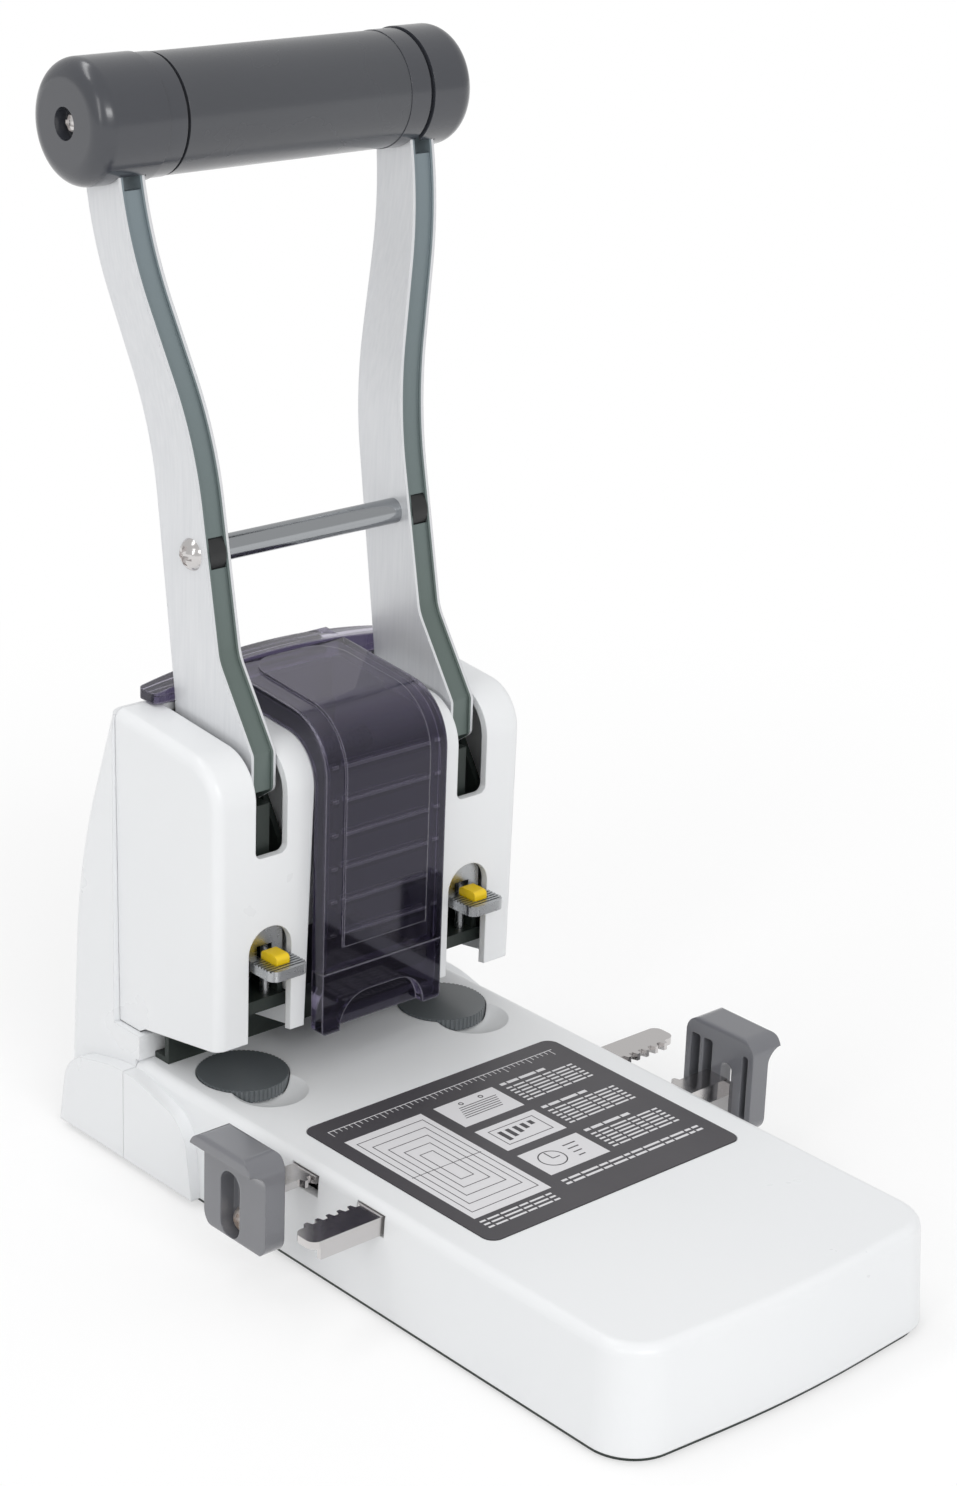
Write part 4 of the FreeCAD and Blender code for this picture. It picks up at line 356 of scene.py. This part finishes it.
ground_steel = turned_steel("ground steel", "#b4b6b8", roughness=0.28, lines_mm=0.8)
bright_nickel = turned_steel("bright nickel plate", "#d6d3d2", roughness=0.16, lines_mm=1.2)
drawn_steel = turned_steel("drawn dark nickel rod", "#a6a9ac", roughness=0.16, lines_mm=1.0)
satin_zinc = turned_steel("satin zinc plate", "#dcd4ce", roughness=0.55, lines_mm=0.8)
dress(["pivot_shaft", "guide_rods", "drive_pins", "frame_screws", "seat_pins", "pinion_post",
       "cover_hinge_pin", "grip_core", "grip_spacers", "left_tab_spacer", "right_tab_spacer", "left_cutter",
       "right_cutter", "left_release_tab", "right_release_tab"], ground_steel)
dress(["crossbar_screws", "grip_screws", "rear_rule", "front_rule"], bright_nickel)
dress(["crossbar"], drawn_steel)
dress(["left_stop_screw", "right_stop_screw"], satin_zinc)

# Grip: a thick moulded sleeve pushed over the core between rings and end caps, all in one dark grey. The
# sleeve is soft to the hand with a low sheen, and the harder caps shine a little more.
grip_rubber = moulded("dark grey soft-touch sleeve", "#44464b", "#3d3f44", roughness=0.26, grain_mm=0.7,
                      grain_height=0.00006, edge_mm=0.3, coat=0.5)
grip_abs = moulded("dark grey moulded end cap", "#404248", "#393b41", roughness=0.20, grain_mm=0.8,
                   grain_height=0.00003, edge_mm=0.3, coat=0.5)
dress(["grip_sleeve"], grip_rubber)
dress(["left_grip_ring", "right_grip_ring", "left_grip_cap", "right_grip_cap"], grip_abs)

# Side stops and cutting discs: glass-filled plastic in mid and dark grey. The stops' polished mould gives
# bright edges, and the discs are drier and more even. A screw holds each stop on its rule, and each disc
# turns on a peg of the base.
stop_plastic = moulded("mid grey moulded stop", "#74757a", "#6d6e73", roughness=0.22, grain_mm=0.8,
                       grain_height=0.00004, edge_mm=0.7, coat=0.6)
disc_plastic = moulded("dark grey punching disc", "#64696c", "#5d6265", roughness=0.34, grain_mm=0.6,
                       grain_height=0.00005, edge_mm=0.2, coat=0.4)
dress(["left_stop", "right_stop"], stop_plastic)
dress(["left_cutting_disc", "right_cutting_disc"], disc_plastic)

# Latches: small slides on the release tabs, moulded in bright yellow plastic so that the hand finds them. The
# surface is smooth, with a soft shine.
latch_yellow = moulded("yellow moulded latch", "#f2cf1c", "#ecc714", roughness=0.35, grain_mm=0.8,
                       grain_height=0.00003)
dress(["left_latch", "right_latch"], latch_yellow)

# Label: a dark plastic film set in a shallow recess of the base, screen-printed in pale ink that stands a
# hair proud. The print is a plain guide drawn for this machine: a measuring scale, nested sheets, and three
# line drawings with rows of bars beside them. Its places are in millimetres.
label_film = moulded("dark label film", "#4b494d", "#464448", roughness=0.45, grain_mm=0.5,
                     grain_height=0.00001, edge_mm=0.1)
pale_ink = moulded("pale printed ink", "#e4e3e5", "#dcdbde", roughness=0.5, grain_mm=0.5,
                   grain_height=0.00001, edge_mm=0.05)
dark_ink = moulded("dark printed line", "#48464a", "#434145", roughness=0.5, grain_mm=0.5,
                   grain_height=0.00001, edge_mm=0.05)
dress(["label_panel"], label_film)
label_low, label_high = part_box("label_panel")
film_width = (label_high.x - label_low.x) * 1000
film_depth = (label_high.y - label_low.y) * 1000
ink_height = 0.00003
margin = 5.0
line = 0.3
thin_line = 0.25
pale = bmesh.new()
dark = bmesh.new()


def bar(ink, x, y, width, depth, level=0):
    """A printed rectangle; x and y go right and forward from the film's left rear corner."""
    left = label_low.x + x / 1000
    rear = label_high.y - y / 1000
    low = label_high.z + ink_height * level
    high = low + ink_height
    corners = [(left, rear - depth / 1000), (left + width / 1000, rear - depth / 1000),
               (left + width / 1000, rear), (left, rear)]
    floor = [ink.verts.new((cx, cy, low)) for cx, cy in corners]
    roof = [ink.verts.new((cx, cy, high)) for cx, cy in corners]
    ink.faces.new(roof)
    ink.faces.new(floor[::-1])
    for k in range(4):
        ink.faces.new((floor[k], floor[(k + 1) % 4], roof[(k + 1) % 4], roof[k]))


def ring(ink, x, y, radius, hole, level=0):
    """A printed ring about x, y."""
    sides = 28
    centre_x = label_low.x + x / 1000
    centre_y = label_high.y - y / 1000
    low = label_high.z + ink_height * level
    rims = []
    for reach in (radius, hole):
        for height in (low, low + ink_height):
            rims.append([ink.verts.new((centre_x + reach / 1000 * math.cos(2 * math.pi * k / sides),
                                        centre_y + reach / 1000 * math.sin(2 * math.pi * k / sides), height))
                         for k in range(sides)])
    for k in range(sides):
        after = (k + 1) % sides
        ink.faces.new((rims[0][k], rims[0][after], rims[1][after], rims[1][k]))
        ink.faces.new((rims[2][after], rims[2][k], rims[3][k], rims[3][after]))
        ink.faces.new((rims[1][k], rims[1][after], rims[3][after], rims[3][k]))
        ink.faces.new((rims[0][after], rims[0][k], rims[2][k], rims[2][after]))


def outline(ink, x, y, width, depth, level=0):
    """A drawn rectangle, one line wide."""
    bar(ink, x, y, width, line, level)
    bar(ink, x, y + depth - line, width, line, level)
    bar(ink, x, y + line, line, depth - 2 * line, level)
    bar(ink, x + width - line, y + line, line, depth - 2 * line, level)


def ruled(ink, x, y, width, rows, pitch=1.9, depth=0.8):
    """Rows of broken bars of five lengths in turn."""
    shortest = 2.2
    longer_by = 1.1
    gap = 0.7
    least_left = 2.0
    for row in range(rows):
        start = 0.0
        piece = 0
        while start < width - least_left:
            length = min(shortest + piece * 2 % 5 * longer_by, width - start)
            bar(ink, x + start, y + row * pitch, length, depth)
            start += length + gap
            piece += 1


# The measuring scale, with every fifth mark longer.
scale_y = margin + 1.0
scale_length = film_width - 2 * margin
mark_pitch = 2.0
long_mark = 3.2
short_mark = 1.8
bar(pale, margin, scale_y, scale_length, line)
for k in range(int(scale_length / mark_pitch) + 1):
    bar(pale, margin + k * mark_pitch, scale_y + line, thin_line, long_mark if k % 5 == 0 else short_mark)
# Nested sheets about one centre line on the left, and bars under them.
guide_width = 30.0
guide_top = scale_y + 8.0
guide_depth = film_depth - guide_top - margin - 8.0
first_inset = 2.0
inset_step = 2.6
sheet_stretch = 1.6
centre_line_inset = 1.5
bar(pale, margin, guide_top, guide_width, guide_depth)
for k in range(5):
    inset = first_inset + inset_step * k
    outline(dark, margin + inset, guide_top + inset * sheet_stretch, guide_width - 2 * inset,
            guide_depth - 2 * inset * sheet_stretch, level=1)
bar(dark, margin + centre_line_inset, guide_top + guide_depth / 2, guide_width - 2 * centre_line_inset,
    thin_line, level=1)
ruled(pale, margin, guide_top + guide_depth + 2.0, guide_width, rows=3)
# Three wide cards step down the middle, with a thick bar and thin rows at the right of each.
card_x = margin + guide_width + 5.0
card_width = 24.0
card_depth = 15.0
card_step = card_depth + 4.0
bars_x = card_x + card_width + 3.0
bars_width = film_width - margin - bars_x
heading_share = 0.7
for k in range(3):
    card_y = guide_top + k * card_step
    bar(pale, card_x, card_y, card_width, card_depth)
    ruled(pale, bars_x, card_y, bars_width * heading_share, rows=1, depth=1.4)
    ruled(pale, bars_x, card_y + 3.2, bars_width, rows=6)
# The first card shows a fanned stack of sheets under two holes.
card_y = guide_top
sheet_shift = 0.5
sheet_rise = 1.2
for k in range(6):
    bar(dark, card_x + 4.0 + k * sheet_shift, card_y + 10.5 - k * sheet_rise, 15.0, 0.35, level=1)
for hole_x in (9.0, 17.0):
    ring(dark, card_x + hole_x, card_y + 2.6, radius=0.9, hole=0.5, level=1)
# The second shows five strips of falling length in a frame.
card_y = guide_top + card_step
strip_pitch = 3.0
strip_fall = 0.9
outline(dark, card_x + 3.0, card_y + 2.5, 18.0, 10.0, level=1)
for k in range(5):
    bar(dark, card_x + 5.0 + k * strip_pitch, card_y + 4.5, 1.6, 6.0 - k * strip_fall, level=1)
# The third shows a dial with two hands, and four short lines.
card_y = guide_top + 2 * card_step
row_pitch = 2.4
row_fall = 0.8
ring(dark, card_x + 7.5, card_y + 7.5, radius=4.6, hole=4.2, level=1)
bar(dark, card_x + 7.3, card_y + 3.6, 0.4, 4.0, level=1)
bar(dark, card_x + 7.5, card_y + 7.4, 2.8, 0.4, level=1)
for k in range(4):
    bar(dark, card_x + 15.0, card_y + 3.5 + k * row_pitch, 5.0 - k * row_fall, 0.5, level=1)
ruled(pale, card_x, guide_top + 3 * card_step, film_width - margin - card_x, rows=2, pitch=2.1, depth=1.0)
for ink, paint, name in ((pale, pale_ink, "label_print_pale"), (dark, dark_ink, "label_print_dark")):
    bmesh.ops.recalc_face_normals(ink, faces=ink.faces)
    print_mesh = bpy.data.meshes.new(name)
    ink.to_mesh(print_mesh)
    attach(keep(name, print_mesh, paint), "machine")

# Smoked cover: clear polycarbonate tinted smoke grey with a violet cast, and polished, so that it mirrors the
# studio; its edges and its upward faces carry painted light. It is moulded as a stem and a hinged band, with
# ribs across the stem's inside, drawn on the front as a painted highlight line over a painted shadow line,
# and a scooped grip lip closes its lower end.
stem_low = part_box("smoked_cover")[0]
wall_depth = 0.004
first_rib_z = 0.082
rib_pitch = 0.011
rib_rows = 7
rib_share = 0.11
rib_end_x = 0.0166
tick_start_x = 0.0190
tick_end_x = 0.0215
haze_mm = 20.0
flow_mm = 60.0
smoke, tree = blank_material("smoked polycarbonate")
place = add(tree, "ShaderNodeTexCoord")
spot = add(tree, "ShaderNodeSeparateXYZ", None, {0: place.outputs["Object"]})
climb = reckon("DIVIDE", reckon("SUBTRACT", spot.outputs["Z"], first_rib_z - rib_pitch), rib_pitch)
phase = reckon("FRACT", climb)
in_rows = reckon("MULTIPLY", reckon("GREATER_THAN", climb, 0.5), reckon("LESS_THAN", climb, rib_rows))
in_front = reckon("MULTIPLY", reckon("LESS_THAN", spot.outputs["Y"], stem_low.y + wall_depth), in_rows)
off_centre = reckon("ABSOLUTE", spot.outputs["X"])
tick = reckon("MULTIPLY", reckon("GREATER_THAN", off_centre, tick_start_x),
              reckon("LESS_THAN", off_centre, tick_end_x))
across = reckon("MAXIMUM", reckon("LESS_THAN", off_centre, rib_end_x), tick)
ribbed = reckon("MULTIPLY", in_front, across)
# Painted highlight and painted shadow: a pale line along the top of each rib and a dark line under it, with
# short ticks at the sides.
rib_painted_highlight = reckon("MULTIPLY", reckon("LESS_THAN", phase, rib_share), ribbed)
rib_painted_shadow = reckon("MULTIPLY", reckon("GREATER_THAN", phase, 1 - rib_share), ribbed)
flow = place_texture(tree, flow_mm)
smoke_tint_and_top_light = add(tree, "ShaderNodeMix", {"data_type": "RGBA"},
                 {"Factor": flow.outputs["Fac"], "A": linear("#544e66"), "B": linear("#49435b")})
# Painted light: faces turned upward are mixed towards a pale violet, as if lit from above.
facing = add(tree, "ShaderNodeSeparateXYZ", None, {0: place.outputs["Normal"]})
painted_top_light = add(tree, "ShaderNodeMapRange", None,
             {"Value": facing.outputs["Z"], "From Min": 0.3, "From Max": 0.95})
smoke_tint_and_top_light = add(tree, "ShaderNodeMix", {"data_type": "RGBA"},
                 {"Factor": painted_top_light.outputs["Result"], "A": smoke_tint_and_top_light.outputs["Result"],
                  "B": linear("#c9c4d6")})
painted_rib_and_edge_light = add(tree, "ShaderNodeMix", {"data_type": "RGBA"},
               {"Factor": rib_painted_highlight, "A": smoke_tint_and_top_light.outputs["Result"], "B": linear("#b0aac0")})
painted_rib_and_edge_light = add(tree, "ShaderNodeMix", {"data_type": "RGBA"},
               {"Factor": rib_painted_shadow, "A": painted_rib_and_edge_light.outputs["Result"], "B": linear("#3c384a")})
# Painted highlight: where the bevelled normal turns away from the face's own, the edges are painted paler and
# let less light through.
edge = add(tree, "ShaderNodeBevel", {"samples": 6}, {"Radius": 0.0008})
face = add(tree, "ShaderNodeNewGeometry")
match = add(tree, "ShaderNodeVectorMath", {"operation": "DOT_PRODUCT"},
            {0: edge.outputs["Normal"], 1: face.outputs["Normal"]})
painted_edge_highlight = add(tree, "ShaderNodeMapRange", None,
                    {"Value": match.outputs["Value"], "From Min": 0.99, "From Max": 0.90, "To Max": 0.75})
painted_rib_and_edge_light = add(tree, "ShaderNodeMix", {"data_type": "RGBA"},
               {"Factor": painted_edge_highlight.outputs["Result"], "A": painted_rib_and_edge_light.outputs["Result"],
                "B": linear("#cfcbda")})
clear_share = add(tree, "ShaderNodeMapRange", None,
                  {"Value": painted_edge_highlight.outputs["Result"], "To Min": 0.95, "To Max": 0.60})
haze = place_texture(tree, haze_mm, detail=3.0)
polish = add(tree, "ShaderNodeMapRange", None,
             {"Value": haze.outputs["Fac"], "To Min": 0.03, "To Max": 0.09})
smoke_shade = add(tree, "ShaderNodeBsdfPrincipled", None,
                  {"Base Color": painted_rib_and_edge_light.outputs["Result"], "Roughness": polish.outputs["Result"],
                   "IOR": 1.45, "Transmission Weight": clear_share.outputs["Result"],
                   "Specular Tint": linear("#cfc9ec"), "Coat Weight": 0.4, "Coat Roughness": 0.05,
                   "Normal": edge.outputs["Normal"]})
add(tree, "ShaderNodeOutputMaterial", None, {"Surface": smoke_shade.outputs[0]})
dress(["smoked_cover", "cover_band", "cover_grip_lip"], smoke)

# Return springs: ground steel wire coiled round each cutter, standing on the deck under the carriage.
wire_radius = 0.0006
turns = 7
steps = 20
wire_sides = 8
for side in ("left", "right"):
    low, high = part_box(side + "_return_spring")
    centre = (low + high) / 2
    coil_radius = (high.x - low.x) / 2 - wire_radius
    rise = high.z - low.z - 2 * wire_radius
    wire = bmesh.new()
    rings = []
    for i in range(turns * steps + 1):
        angle = 2 * math.pi * i / steps
        height = low.z + wire_radius + rise * i / (turns * steps)
        rim = []
        for k in range(wire_sides):
            turn = 2 * math.pi * k / wire_sides
            reach = coil_radius + wire_radius * math.cos(turn)
            rim.append(wire.verts.new((centre.x + reach * math.cos(angle), centre.y + reach * math.sin(angle),
                                       height + wire_radius * math.sin(turn))))
        rings.append(rim)
    for near, far in zip(rings, rings[1:]):
        for k in range(wire_sides):
            wire.faces.new((near[k], near[(k + 1) % wire_sides], far[(k + 1) % wire_sides], far[k]))
    wire.faces.new(rings[0][::-1])
    wire.faces.new(rings[-1])
    bmesh.ops.recalc_face_normals(wire, faces=wire.faces)
    coil = bpy.data.meshes.new(side + "_spring_coil")
    wire.to_mesh(coil)
    coil.shade_smooth()
    spring = keep(side + "_spring_coil", coil, ground_steel)
    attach(spring, "machine")
    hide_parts(side + "_return_spring")
    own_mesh(spring)

scene.view_settings.view_transform = "Standard"
